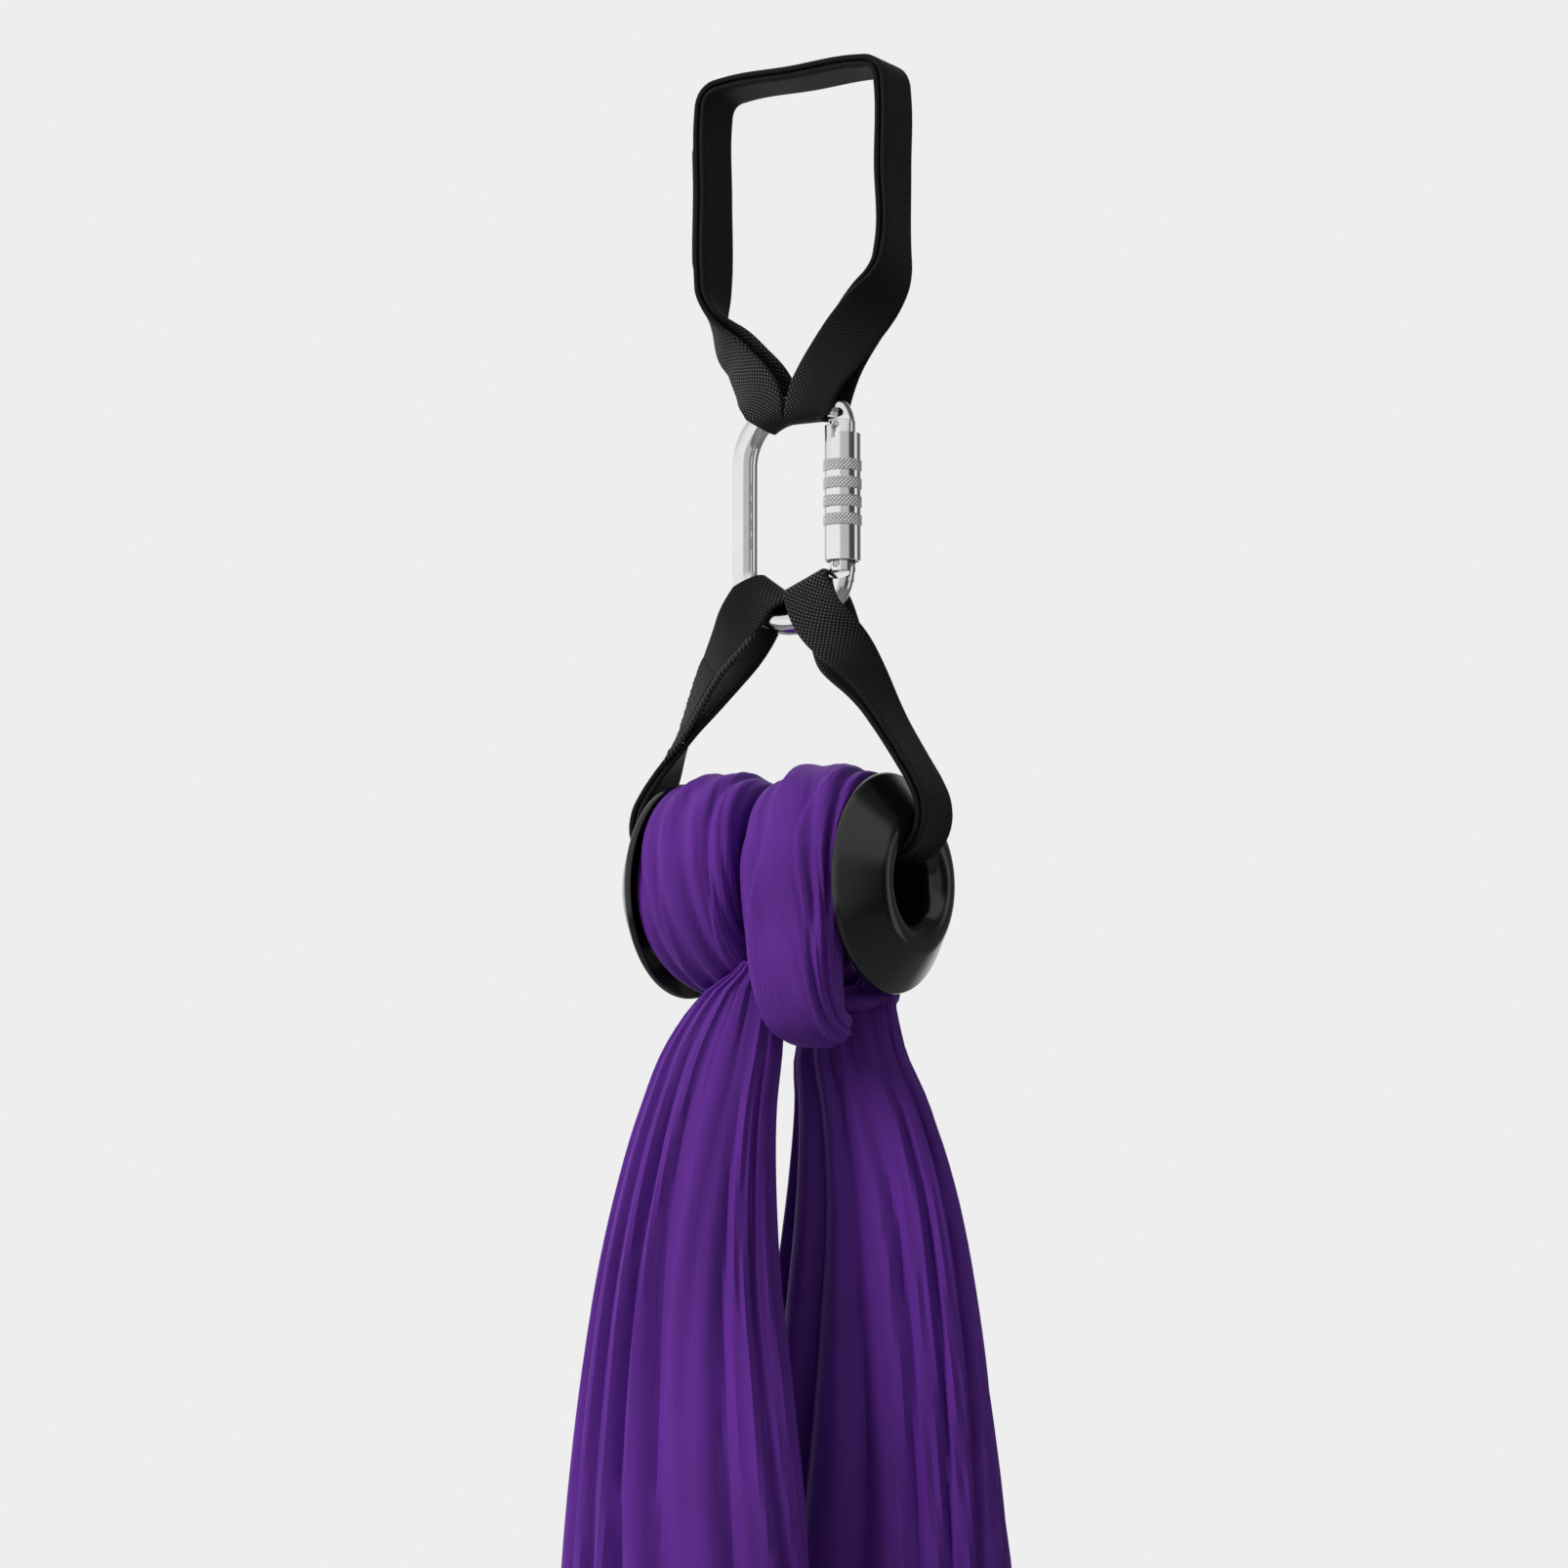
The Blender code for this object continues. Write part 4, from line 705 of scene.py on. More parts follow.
def edge_cord(name, route, outward, material, body):
    """The overlocked edge down the left leg: two thick threads laid round each other."""
    middle, normal, along, gaps, _ = sling_rows(route, outward)
    lengths = row_lengths(middle)
    chosen = (lengths > EDGE_CORD_SPAN[0]) & (lengths < EDGE_CORD_SPAN[1])
    side = np.cross(along, normal)
    edge = middle + normal * gaps[:, None] - side * (WEB_WIDTH / 2)
    points = carried(edge[chosen], EDGE_CORD_STEP, lead=3)
    tangent = unit(np.gradient(points, axis=0))
    first = unit(np.cross(tangent, (0, 1, 0)))
    second = np.cross(first, tangent)
    run = row_lengths(points)
    top, foot = EDGE_CORD_TAPERS
    ends = smoothstep(run, 0, top) * smoothstep(run[-1] - run, 0, foot)
    thinned = EDGE_CORD_END_SHARE + (1 - EDGE_CORD_END_SHARE) * ends
    radius = (STRAND_RADIUS * thinned)[:, None, None]
    turn = np.linspace(0, TURN, EDGE_CORD_SIDES + 1)
    pieces = []
    for strand in range(EDGE_CORD_STRANDS):
        phase = (TURN * run / EDGE_CORD_LAY + TURN * strand / EDGE_CORD_STRANDS)[:, None]
        offset = first * np.cos(phase) + second * np.sin(phase)
        centre = points + offset * STRAND_OFFSET
        way = unit(np.gradient(centre, axis=0))
        a = unit(np.cross(way, offset))
        b = np.cross(a, way)
        rings = centre[:, None] + radius * (a[:, None] * np.cos(turn)[None, :, None]
                                            + b[:, None] * np.sin(turn)[None, :, None])
        rings[:, -1] = rings[:, 0]
        pieces.append(woven_grid(name + "_strand", rings, cloth_uvs(rings),
                                 closed=(True, False), caps=True))
    return dress(joined(name, pieces), material, "black_webbing", body)


# ---- The carabiner

def bar_route(steps_per_radian=26):
    """The bar's centre line in X and Z, from the gate's pivot round to the nose."""
    toe = (HALF_WIDTH - TOE_BEND_RADIUS, BOTTOM_Z + TOE_BEND_RADIUS)
    heel = (SPINE_BEND_RADIUS - HALF_WIDTH, BOTTOM_Z + SPINE_BEND_RADIUS)
    head = (SPINE_BEND_RADIUS - HALF_WIDTH, TOP_Z - SPINE_BEND_RADIUS)
    nose = (HALF_WIDTH - NOSE_BEND_RADIUS, TOP_Z - NOSE_BEND_RADIUS)
    steps = round(math.pi / 2 * steps_per_radian)
    route = [(HALF_WIDTH, PIVOT_Z - FIT_GAP)]
    route += arc(toe, TOE_BEND_RADIUS, 0, -math.pi / 2, steps)
    route += arc(heel, SPINE_BEND_RADIUS, -math.pi / 2, -math.pi, steps)
    route += arc(head, SPINE_BEND_RADIUS, math.pi, math.pi / 2, steps)
    route += arc(nose, NOSE_BEND_RADIUS, math.pi / 2, 0, steps)
    route.append((HALF_WIDTH, TONGUE_END_Z))
    clean = [route[0]]
    for point in route[1:]:
        if math.dist(point, clean[-1]) > LEAST_SPACING:
            clean.append(point)
    return np.array([(BODY_X + x, 0, z) for x, z in clean])


def bar_mesh(name, steps=72):
    """The bar as a plain bent rod, before its ends are shaped."""
    route = bar_route()
    along = unit(np.gradient(route, axis=0))
    across = np.array((0, 1, 0))
    out = np.cross(across, along)
    turn = np.linspace(0, TURN, steps + 1)
    rings = (route[:, None] + BAR_RADIUS * (np.cos(turn)[None, :, None] * across
                                            + np.sin(turn)[None, :, None] * out[:, None]))
    rings[:, -1] = rings[:, 0]
    return woven_grid(name, rings, closed=(True, False), caps=True)


def tang_plate():
    """The rounded plate that the gate turns on."""
    outline = arc((GATE_X, PIVOT_Z), TANG_RADIUS, 0, math.pi, 32)
    outline += [(GATE_X - TANG_RADIUS, PIVOT_Z - TANG_ROOT_LENGTH),
                (GATE_X + TANG_RADIUS, PIVOT_Z - TANG_ROOT_LENGTH)]
    bm = bmesh.new()
    verts = [bm.verts.new((x, -TONGUE_THICKNESS / 2, z)) for x, z in outline]
    face = bm.faces.new(verts)
    made = bmesh.ops.extrude_face_region(bm, geom=[face])
    moved = [item for item in made["geom"] if isinstance(item, bmesh.types.BMVert)]
    bmesh.ops.translate(bm, vec=(0, TONGUE_THICKNESS, 0), verts=moved)
    bmesh.ops.recalc_face_normals(bm, faces=bm.faces)
    return object_from("tang", bm, smooth=False)


def carabiner_bar(material):
    """The bent bar with its nose, its tongue and the tang for the gate's pivot."""
    body = bar_mesh("carabiner_bar")
    reach = GATE_RADIUS + OVERRUN
    for side in (-1, 1):
        inner, outer = side * TONGUE_THICKNESS / 2, side * reach
        middle, length = (inner + outer) / 2, reach - TONGUE_THICKNESS / 2
        cut(body, peg((GATE_X, middle, PIVOT_Z), SHOULDER_RADIUS, length, steps=96))
        cut(body, block((GATE_X - reach, min(inner, outer), TONGUE_END_Z - OVERRUN),
                        (GATE_X + reach, max(inner, outer), NOSE_SHOULDER_Z)))
        cut(body, peg((GATE_X, middle, NOSE_SHOULDER_Z), NOSE_ARCH_RADIUS, length, steps=64))
    cut(body, block((GATE_X - reach, -reach, PIVOT_Z - FIT_GAP - OVERRUN / 2),
                    (GATE_X + reach, reach, SLEEVE_END_Z + OVERRUN)))
    cut(body, tang_plate(), "UNION")
    cut(body, peg((GATE_X, 0, PIVOT_Z), RIVET_HOLE_RADIUS, 2 * reach))
    notch_z = LATCH_Z - NOTCH_HEIGHT / 2
    cut(body, block((GATE_X - reach, -reach, notch_z),
                    (GATE_X + LATCH_HOLE_RADIUS, reach, notch_z + NOTCH_HEIGHT)))
    sharpen(body.data)
    return dress(body, material, "polished_steel", "carabiner", "carabiner_body")


def gate_bar(material):
    """The gate: a round bar slotted at both ends, waisted under the sleeve."""
    edge = GATE_EDGE_RADIUS
    profile = [(0, GATE_TOP_Z)]
    profile += arc((GATE_RADIUS - edge, GATE_TOP_Z - edge), edge, math.pi / 2, 0, 4)
    profile += [(GATE_RADIUS, SEAT_TOP_Z), (SEAT_RADIUS, SEAT_TOP_Z), (SEAT_RADIUS, SEAT_END_Z),
                (GATE_RADIUS, SEAT_END_Z), (GATE_RADIUS, RING_TOP_Z + FIT_GAP),
                (RING_GROOVE_RADIUS, RING_TOP_Z + FIT_GAP),
                (RING_GROOVE_RADIUS, RING_TOP_Z - RING_THICKNESS - FIT_GAP),
                (GATE_RADIUS, RING_TOP_Z - RING_THICKNESS - FIT_GAP)]
    profile += arc((GATE_RADIUS - edge, GATE_END_Z + edge), edge, 0, -math.pi / 2, 4)
    profile.append((0, GATE_END_Z))
    gate = lathe("gate_bar", profile, GATE_STEPS, closed=False)
    settle(gate, Matrix.Translation((GATE_X, 0, 0)))
    half_slot = TONGUE_THICKNESS / 2 + FIT_GAP
    reach = GATE_RADIUS + OVERRUN
    tang_top = PIVOT_Z + TANG_RADIUS + FIT_GAP
    cut(gate, block((GATE_X - reach, -half_slot, GATE_SLOT_FLOOR_Z),
                    (GATE_X + reach, half_slot, GATE_TOP_Z + OVERRUN)))
    cut(gate, block((GATE_X - reach, -half_slot, GATE_END_Z - OVERRUN),
                    (GATE_X + reach, half_slot, tang_top)))
    cut(gate, peg((GATE_X, 0, LATCH_Z), LATCH_HOLE_RADIUS, 2 * reach))
    cut(gate, peg((GATE_X, 0, PIVOT_Z), RIVET_HOLE_RADIUS, 2 * reach))
    sharpen(gate.data)
    return dress(gate, material, "polished_steel", "gate", "gate_arm")


def knurled_band(top_z, teeth, depth):
    """One band of the sleeve's diamond knurl, as a closed ring of its own."""
    columns, rows = teeth * KNURL_TOOTH_COLUMNS, KNURL_ROWS
    turn = np.linspace(0, TURN, columns + 1)
    height = np.linspace(0, 1, rows + 1)
    edge = smoothstep(np.minimum(height, 1 - height), 0, KNURL_END_SHARE)
    wave = teeth * turn[None, :]
    climb = TURN * (top_z - BAND_HEIGHT * height[:, None]) / KNURL_PITCH
    ridge = np.abs(np.sin((wave + climb) / 2)) * np.abs(np.sin((wave - climb) / 2))
    radius = BAND_RADIUS - depth * (1 - np.sqrt(ridge)) * edge[:, None]
    radius = SLEEVE_RADIUS + (radius - SLEEVE_RADIUS) * edge[:, None] ** 0.5
    radius = np.pad(radius, ((1, 1), (0, 0)), constant_values=SLEEVE_RADIUS - KNURL_SINK)
    z = np.pad(top_z - BAND_HEIGHT * height, 1, mode="edge")
    grid = np.zeros((rows + 3, columns + 1, 3))
    grid[..., 0] = radius * np.cos(turn)
    grid[..., 1] = radius * np.sin(turn)
    grid[..., 2] = z[:, None]
    grid[:, -1] = grid[:, 0]
    grid[..., 0] += GATE_X
    return woven_grid("knurl", grid, closed=(True, False))


def twist_sleeve(material):
    """The twist sleeve: a stepped collar, a slot and a bored barrel."""
    edge = SLEEVE_EDGE_RADIUS
    profile = arc((SLEEVE_RADIUS - edge, SLEEVE_TOP_Z - edge), edge, math.pi / 2, 0, 4)
    profile += arc((SLEEVE_RADIUS - edge, SLEEVE_END_Z + edge), edge, 0, -math.pi / 2, 4)
    counterbore_z = SLEEVE_END_Z + COUNTERBORE_DEPTH
    profile += [(COUNTERBORE_RADIUS, SLEEVE_END_Z), (COUNTERBORE_RADIUS, counterbore_z),
                (SLEEVE_BORE_RADIUS, counterbore_z), (SLEEVE_BORE_RADIUS, SLEEVE_TOP_Z)]
    sleeve = lathe("twist_sleeve", profile, SLEEVE_STEPS)
    settle(sleeve, Matrix.Translation((GATE_X, 0, 0)))
    reach = SLEEVE_RADIUS + OVERRUN
    cut(sleeve, block((GATE_X, -reach, SLEEVE_STEP_Z),
                      (GATE_X + reach, reach, SLEEVE_TOP_Z + OVERRUN)))
    cut(sleeve, block((GATE_X - SLEEVE_SLOT_WIDTH / 2, -reach, SLEEVE_SLOT_END_Z),
                      (GATE_X + SLEEVE_SLOT_WIDTH / 2, 0, SLEEVE_TOP_Z + OVERRUN)))
    sharpen(sleeve.data)
    return dress(sleeve, material, "polished_steel", "sleeve", "lock_sleeve")


# ---- The spool

def flange_profile():
    """A flange's section as radius and distance from the spool's middle."""
    rim = Vector((RIM_RADIUS, RIM_X))
    lip = Vector((LIP_CENTRE_RHO, LIP_CENTRE_X))
    offset = rim - lip
    tangent = math.atan2(offset.y, offset.x) + math.acos(LIP_RADIUS / offset.length)
    outside = [Vector(p) for p in arc(lip, LIP_RADIUS, math.pi / 2, tangent, 14)]
    cone = (rim - outside[-1]).normalized()
    inward = Vector((cone.y, -cone.x))
    if inward.y > 0:
        inward = -inward
    edge = [rim - cone * RIM_EDGE, rim - cone * RIM_EDGE * 0.35 + Vector((0, -RIM_EDGE * 0.12)),
            rim + Vector((0, -RIM_EDGE * 0.75)),
            rim + Vector((0, RIM_EDGE * 0.75 - RIM_THICKNESS)),
            rim + Vector((-RIM_EDGE * 0.35, RIM_EDGE * 0.12 - RIM_THICKNESS)),
            rim + Vector((-RIM_EDGE, -RIM_THICKNESS))]
    wall_end = outside[-1] + inward * WALL_THICKNESS
    spigot = CORE_INNER_RADIUS - FIT_GAP
    hub = [wall_end, Vector((CORE_RADIUS, HUB_STEP_X)),
           Vector((CORE_RADIUS, CORE_HALF_LENGTH + FIT_GAP)),
           Vector((spigot, CORE_HALF_LENGTH + FIT_GAP)),
           Vector((spigot, CORE_HALF_LENGTH - SPIGOT_LENGTH)),
           Vector((BORE_RADIUS, CORE_HALF_LENGTH - SPIGOT_LENGTH))]
    inside = [Vector(p) for p in arc(lip, LIP_RADIUS, math.pi, math.pi / 2, 18)]
    return outside + edge + hub + inside[:-1]


def flange(name, side, material):
    """One flange with its lip facing out: SIDE is 1 for the right one, -1 for the left."""
    piece = lathe(name, [tuple(point) for point in flange_profile()], FLANGE_STEPS)
    turned = Matrix.Rotation(side * math.pi / 2, 4, "Y")
    settle(piece, Matrix.Translation((SPOOL_X, 0, SPOOL_Z)) @ turned)
    sharpen(piece.data, FLANGE_SMOOTH_ANGLE)
    label = "right" if side > 0 else "left"
    return dress(piece, material, "gloss_black", "spool", "spool_flange_" + label)


# ---- The fabric

# The hitch's middle: angle from the top over the front in degrees, place along the spool,
# distance from the spool's axis, width and thickness
COILS = (
    (-112, -0.0305, 0.0378, 0.046, 0.0225),
    (-60, -0.0310, 0.0384, 0.048, 0.0240),
    (0, -0.0308, 0.0390, 0.049, 0.0255),
    (45, -0.0292, 0.0386, 0.050, 0.0250),
    (90, -0.0275, 0.0380, 0.050, 0.0245),
    (140, -0.0255, 0.0378, 0.050, 0.0240),
    (190, -0.0130, 0.0378, 0.049, 0.0235),
    (243, 0.0205, 0.0378, 0.048, 0.0235),
    (300, 0.0226, 0.0386, 0.049, 0.0245),
    (360, 0.0238, 0.0396, 0.050, 0.0262),
    (405, 0.0252, 0.0390, 0.050, 0.0255),
    (450, 0.0268, 0.0384, 0.049, 0.0250),
)
# Where the right coil's front hangs down: x, y and z from the spool's middle, width and
# thickness
BIGHT = (
    (0.0272, -0.0382, -0.0190, 0.0465, 0.0245),
    (0.0268, -0.0370, -0.0370, 0.0430, 0.0240),
    (0.0266, -0.0330, -0.0500, 0.0405, 0.0235),
    (0.0264, -0.0262, -0.0592, 0.0385, 0.0220),
    (0.0262, -0.0188, -0.0625, 0.0350, 0.0200),
    (0.0258, -0.0118, -0.0615, 0.0300, 0.0170),
    (0.0252, -0.0070, -0.0570, 0.0250, 0.0140),
)
# The short turn under the right flange that the back tail hangs from
BACK_TURN = (
    (0.0160, 0.0060, -0.0480, 0.0200, 0.0105),
    (0.0215, 0.0120, -0.0500, 0.0245, 0.0120),
    (0.0265, 0.0200, -0.0500, 0.0260, 0.0125),
    (0.0300, 0.0285, -0.0470, 0.0250, 0.0125),
    (0.0310, 0.0360, -0.0395, 0.0220, 0.0115),
)
# Folds that lie over their neighbours: places along the hitch, degrees round it, height
WRAP_EDGES = (
    ((0.300, 0.322, 0.350, 0.378, 0.405), (130, 123, 108, 102, 126), 0.0022),
    ((0.060, 0.110, 0.160, 0.200), (95, 112, 100, 122), 0.0011),
    ((0.090, 0.140, 0.190), (62, 50, 66), 0.0010),
    ((0.330, 0.380, 0.430), (62, 74, 58), 0.0009),
)
# How finely the hitch is laid: its coils step by step in degrees, of which every few rows
# are kept, and then its whole length in metres
COIL_STEP = 0.7
COIL_STRIDE = 6
WRAP_STEP = 0.0014
WRAP_SIDES = 176
TURN_SIDES = 96
# A gathered length's folds: the heights of its broad, fine and thin ones at full thickness
BROAD_FOLD = 0.0019
FINE_FOLD = 0.0008
THIN_FOLD = 0.00030
FULL_THICKNESS = 0.0245
# How square its section is, 1 for an ellipse, and how it closes at its ends
TUBE_ROUNDNESS = 0.80
TUBE_END_REACH = (-0.001, 0.012)
TUBE_END_SHARE = 0.35
# An overlying fold's run in and out along the hitch, and its step and slope in radians
EDGE_RUN_IN = 0.015
EDGE_RUN_OUT = 0.012
EDGE_STEP = (-0.05, 0.05)
EDGE_SLOPE = (0.10, 1.2)

# Each tail's outline by how far it has dropped: drop, place along the spool, half width,
# distance of its middle from the spool's axis, and half depth
FRONT_TAIL = (
    (-0.0150, 0.0020, 0.0060, 0.0290, 0.0050),
    (-0.0100, 0.0005, 0.0095, 0.0290, 0.0065),
    (-0.0040, -0.0060, 0.0165, 0.0260, 0.0090),
    (0.0040, -0.0112, 0.0225, 0.0230, 0.0115),
    (0.0180, -0.0180, 0.0285, 0.0215, 0.0135),
    (0.0500, -0.0262, 0.0340, 0.0235, 0.0165),
    (0.0900, -0.0310, 0.0400, 0.0265, 0.0195),
    (0.1300, -0.0324, 0.0460, 0.0296, 0.0215),
    (0.1700, -0.0314, 0.0525, 0.0319, 0.0235),
    (0.2200, -0.0296, 0.0590, 0.0346, 0.0260),
    (0.2600, -0.0285, 0.0628, 0.0362, 0.0275),
    (0.4000, -0.0282, 0.0680, 0.0375, 0.0295),
    (0.8000, -0.0290, 0.0730, 0.0395, 0.0315),
    (1.3000, -0.0310, 0.0810, 0.0415, 0.0340),
    (1.8390, -0.0330, 0.0940, 0.0450, 0.0375),
)
BACK_TAIL = (
    (-0.0120, 0.0300, 0.0080, 0.0250, 0.0060),
    (-0.0070, 0.0290, 0.0120, 0.0240, 0.0080),
    (-0.0010, 0.0250, 0.0170, 0.0230, 0.0095),
    (0.0060, 0.0215, 0.0215, 0.0220, 0.0110),
    (0.0230, 0.0205, 0.0270, 0.0215, 0.0135),
    (0.0500, 0.0258, 0.0335, 0.0235, 0.0165),
    (0.0800, 0.0285, 0.0400, 0.0265, 0.0190),
    (0.1100, 0.0297, 0.0455, 0.0278, 0.0210),
    (0.1340, 0.0299, 0.0495, 0.0286, 0.0225),
    (0.1700, 0.0304, 0.0545, 0.0298, 0.0240),
    (0.2200, 0.0312, 0.0595, 0.0315, 0.0260),
    (0.2600, 0.0318, 0.0630, 0.0326, 0.0275),
    (0.4000, 0.0328, 0.0680, 0.0350, 0.0295),
    (0.8000, 0.0340, 0.0730, 0.0385, 0.0315),
    (1.3000, 0.0345, 0.0810, 0.0415, 0.0340),
    (1.8400, 0.0345, 0.0940, 0.0450, 0.0375),
)
# How finely a tail is laid, closer at its top and at its outer edge, and its table carried
TAIL_STEP = 0.002
TAIL_COLUMNS = 380
TAIL_ROWS = 124
TAIL_ROW_POWER = 1.45
TAIL_COLUMN_POWER = 1.6
# The roll of its sheet: where it starts, how much a turn shrinks, the most turns, and how
# much longer its folds make a turn
FRONT_ROLL_START = math.radians(150)
BACK_ROLL_START = math.radians(160)
TAIL_TURN_SHARE = 0.12
TAIL_MOST_TURNS = 6.4
TAIL_FOLD_STRETCH = 1.12
# Its folds: how many, how high where it hangs from the hitch and how much more where it is
# open, the drops between which it opens, and the small folds' share of the height
TAIL_FOLD_COUNT = 14
TAIL_FOLD_REACH = 0.0016
TAIL_OPEN_REACH = 0.0066
TAIL_OPENING = (-0.03, 0.14)
TAIL_SMALL_SHARE = 0.26
# The thin folds below the hitch, and the most of its half depth that a fold may take
TAIL_THIN_FOLD = 0.0006
TAIL_THIN_DROP = 0.07
TAIL_DEPTH_SHARE = 0.35


def wander(seed, value, waves, reach):
    """A slow irregular wave of VALUE, made from a few sines with seeded phases."""
    draw = np.random.default_rng(seed)
    total = np.zeros_like(value, dtype=float)
    for wave in waves:
        total += np.sin(wave * value + draw.uniform(0, TURN)) / len(waves)
    return reach * total


def pleat(phase, softness):
    """A fold's height from 0 in its crease to 1 on its round crest."""
    raised = np.sqrt(np.sin(math.pi * phase) ** 2 + softness ** 2)
    return (raised - softness) / (math.sqrt(1 + softness ** 2) - softness)


def soft_fold(phase):
    """A soft fold's height, from 0 in a narrow valley to 1 on a wide crest."""
    return (np.cos(TURN * phase) - 0.17 * np.cos(2 * TURN * phase) + 1.17) / 2


def folded_tube(name, route, sides, folds, seed, twist, edges=()):
    """A gathered length of fabric: a tube with long folds that run along it.

    ROUTE has x, y, z, width and thickness at each place. TWIST is how many folds pass a
    side in each metre. EDGES are folds that lie over their neighbours: places along the
    route, degrees round the tube and height."""
    middles = route[:, :3]
    along = unit(np.gradient(middles, axis=0))
    side = unit(np.array((1.0, 0, 0)) - along * along[:, :1])
    out = np.cross(side, along)
    axis = np.array((SPOOL_X, 0, SPOOL_Z))
    facing = np.sign(np.sum(out * (middles - axis), axis=1, keepdims=True))
    out = out * np.where(facing == 0, 1, facing)
    turn = np.linspace(0, TURN, sides + 1)[None, :]
    run = row_lengths(middles)[:, None]
    share = turn / TURN
    sway = wander(seed, run, (14, 31, 57), 0.9) + twist * run
    width_sway = (0.035 * np.sin(2 * turn + 1.3 + 9 * run)
                  + 0.022 * np.sin(3 * turn + 4.0 - 13 * run))
    broad = pleat(folds * (share + width_sway) + sway, 0.30)
    fine = pleat(folds * 2.0 * (share + 0.6 * width_sway) + 0.5
                 + wander(seed + 1, run + 0.2 * share, (18, 43), 1.1) + twist * 2 * run, 0.34)
    thin = pleat(folds * 5 * share + wander(seed + 2, run, (22, 47), 1.2) + twist * 5 * run, 0.25)
    patch = 0.5 + 0.5 * np.sin(2 * turn + wander(seed + 3, run, (19, 37), 3.0))
    patch_two = 0.5 + 0.5 * np.sin(3 * turn + 2 + wander(seed + 4, run, (23, 51), 3.0))
    height = (BROAD_FOLD * (broad - 0.6) + FINE_FOLD * (fine - 0.6) * patch
              + THIN_FOLD * (thin - 0.6) * patch_two)
    height = height * np.clip(route[:, 4:5] / FULL_THICKNESS, 0, 1) ** 2
    for where, angles, lift in edges:
        angle = np.interp(run, where, np.radians(angles))
        present = (smoothstep(run, where[0] - EDGE_RUN_IN, where[0] + EDGE_RUN_IN)
                   * (1 - smoothstep(run, where[-1] - EDGE_RUN_OUT, where[-1] + EDGE_RUN_OUT)))
        past = angle - turn
        height = height + lift * present * (smoothstep(past, *EDGE_STEP)
                                            * (1 - smoothstep(past, *EDGE_SLOPE)))
    ends = smoothstep(run, *TUBE_END_REACH) * smoothstep(run[-1] - run, *TUBE_END_REACH)
    full = TUBE_END_SHARE + (1 - TUBE_END_SHARE) * ends
    cosine, sine = np.cos(turn), np.sin(turn)
    reach_side = np.sign(cosine) * np.abs(cosine) ** TUBE_ROUNDNESS
    reach_out = np.sign(sine) * np.abs(sine) ** TUBE_ROUNDNESS
    half_width = route[:, 3:4] / 2 * full
    half_depth = route[:, 4:5] / 2 * full
    normal_side = cosine / half_width
    normal_out = sine / half_depth
    size = np.sqrt(normal_side ** 2 + normal_out ** 2)
    a = half_width * reach_side + height * normal_side / size
    b = half_depth * reach_out + height * normal_out / size
    places = (middles[:, None] + a[..., None] * side[:, None] + b[..., None] * out[:, None])
    places[:, -1] = places[:, 0]
    return woven_grid(name, places, cloth_uvs(places), closed=(True, False), caps=True)


def from_spool(table):
    """A table's rows, with their places put in the frame instead of from the spool."""
    return np.array([(SPOOL_X + x, y, SPOOL_Z + z, w, t) for x, y, z, w, t in table])


def coil_route():
    """The hitch's middle in order, from the left coil's back to the bight's end."""
    coils = carried(COILS, COIL_STEP, lead=1)[::COIL_STRIDE]
    angles = np.radians(coils[:, 0])
    rows = np.column_stack((SPOOL_X + coils[:, 1], -coils[:, 2] * np.sin(angles),
                            SPOOL_Z + coils[:, 2] * np.cos(angles), coils[:, 3], coils[:, 4]))
    return carried(np.concatenate((rows, from_spool(BIGHT))), WRAP_STEP, lead=3)


def wrap(material):
    """The hitch round the spool, down to the end of its hanging bight."""
    tube = folded_tube("silk_hitch", coil_route(), WRAP_SIDES, folds=9, seed=7, twist=11.0,
                       edges=WRAP_EDGES)
    return dress(tube, material, "purple_silk", "spool", "silk_wrap")


def back_turn(material):
    """The short turn that shows under the right flange."""
    route = carried(from_spool(BACK_TURN), WRAP_STEP, lead=3)
    tube = folded_tube("silk_back_turn", route, TURN_SIDES, folds=7, seed=21, twist=8.0)
    return dress(tube, material, "purple_silk", "spool")


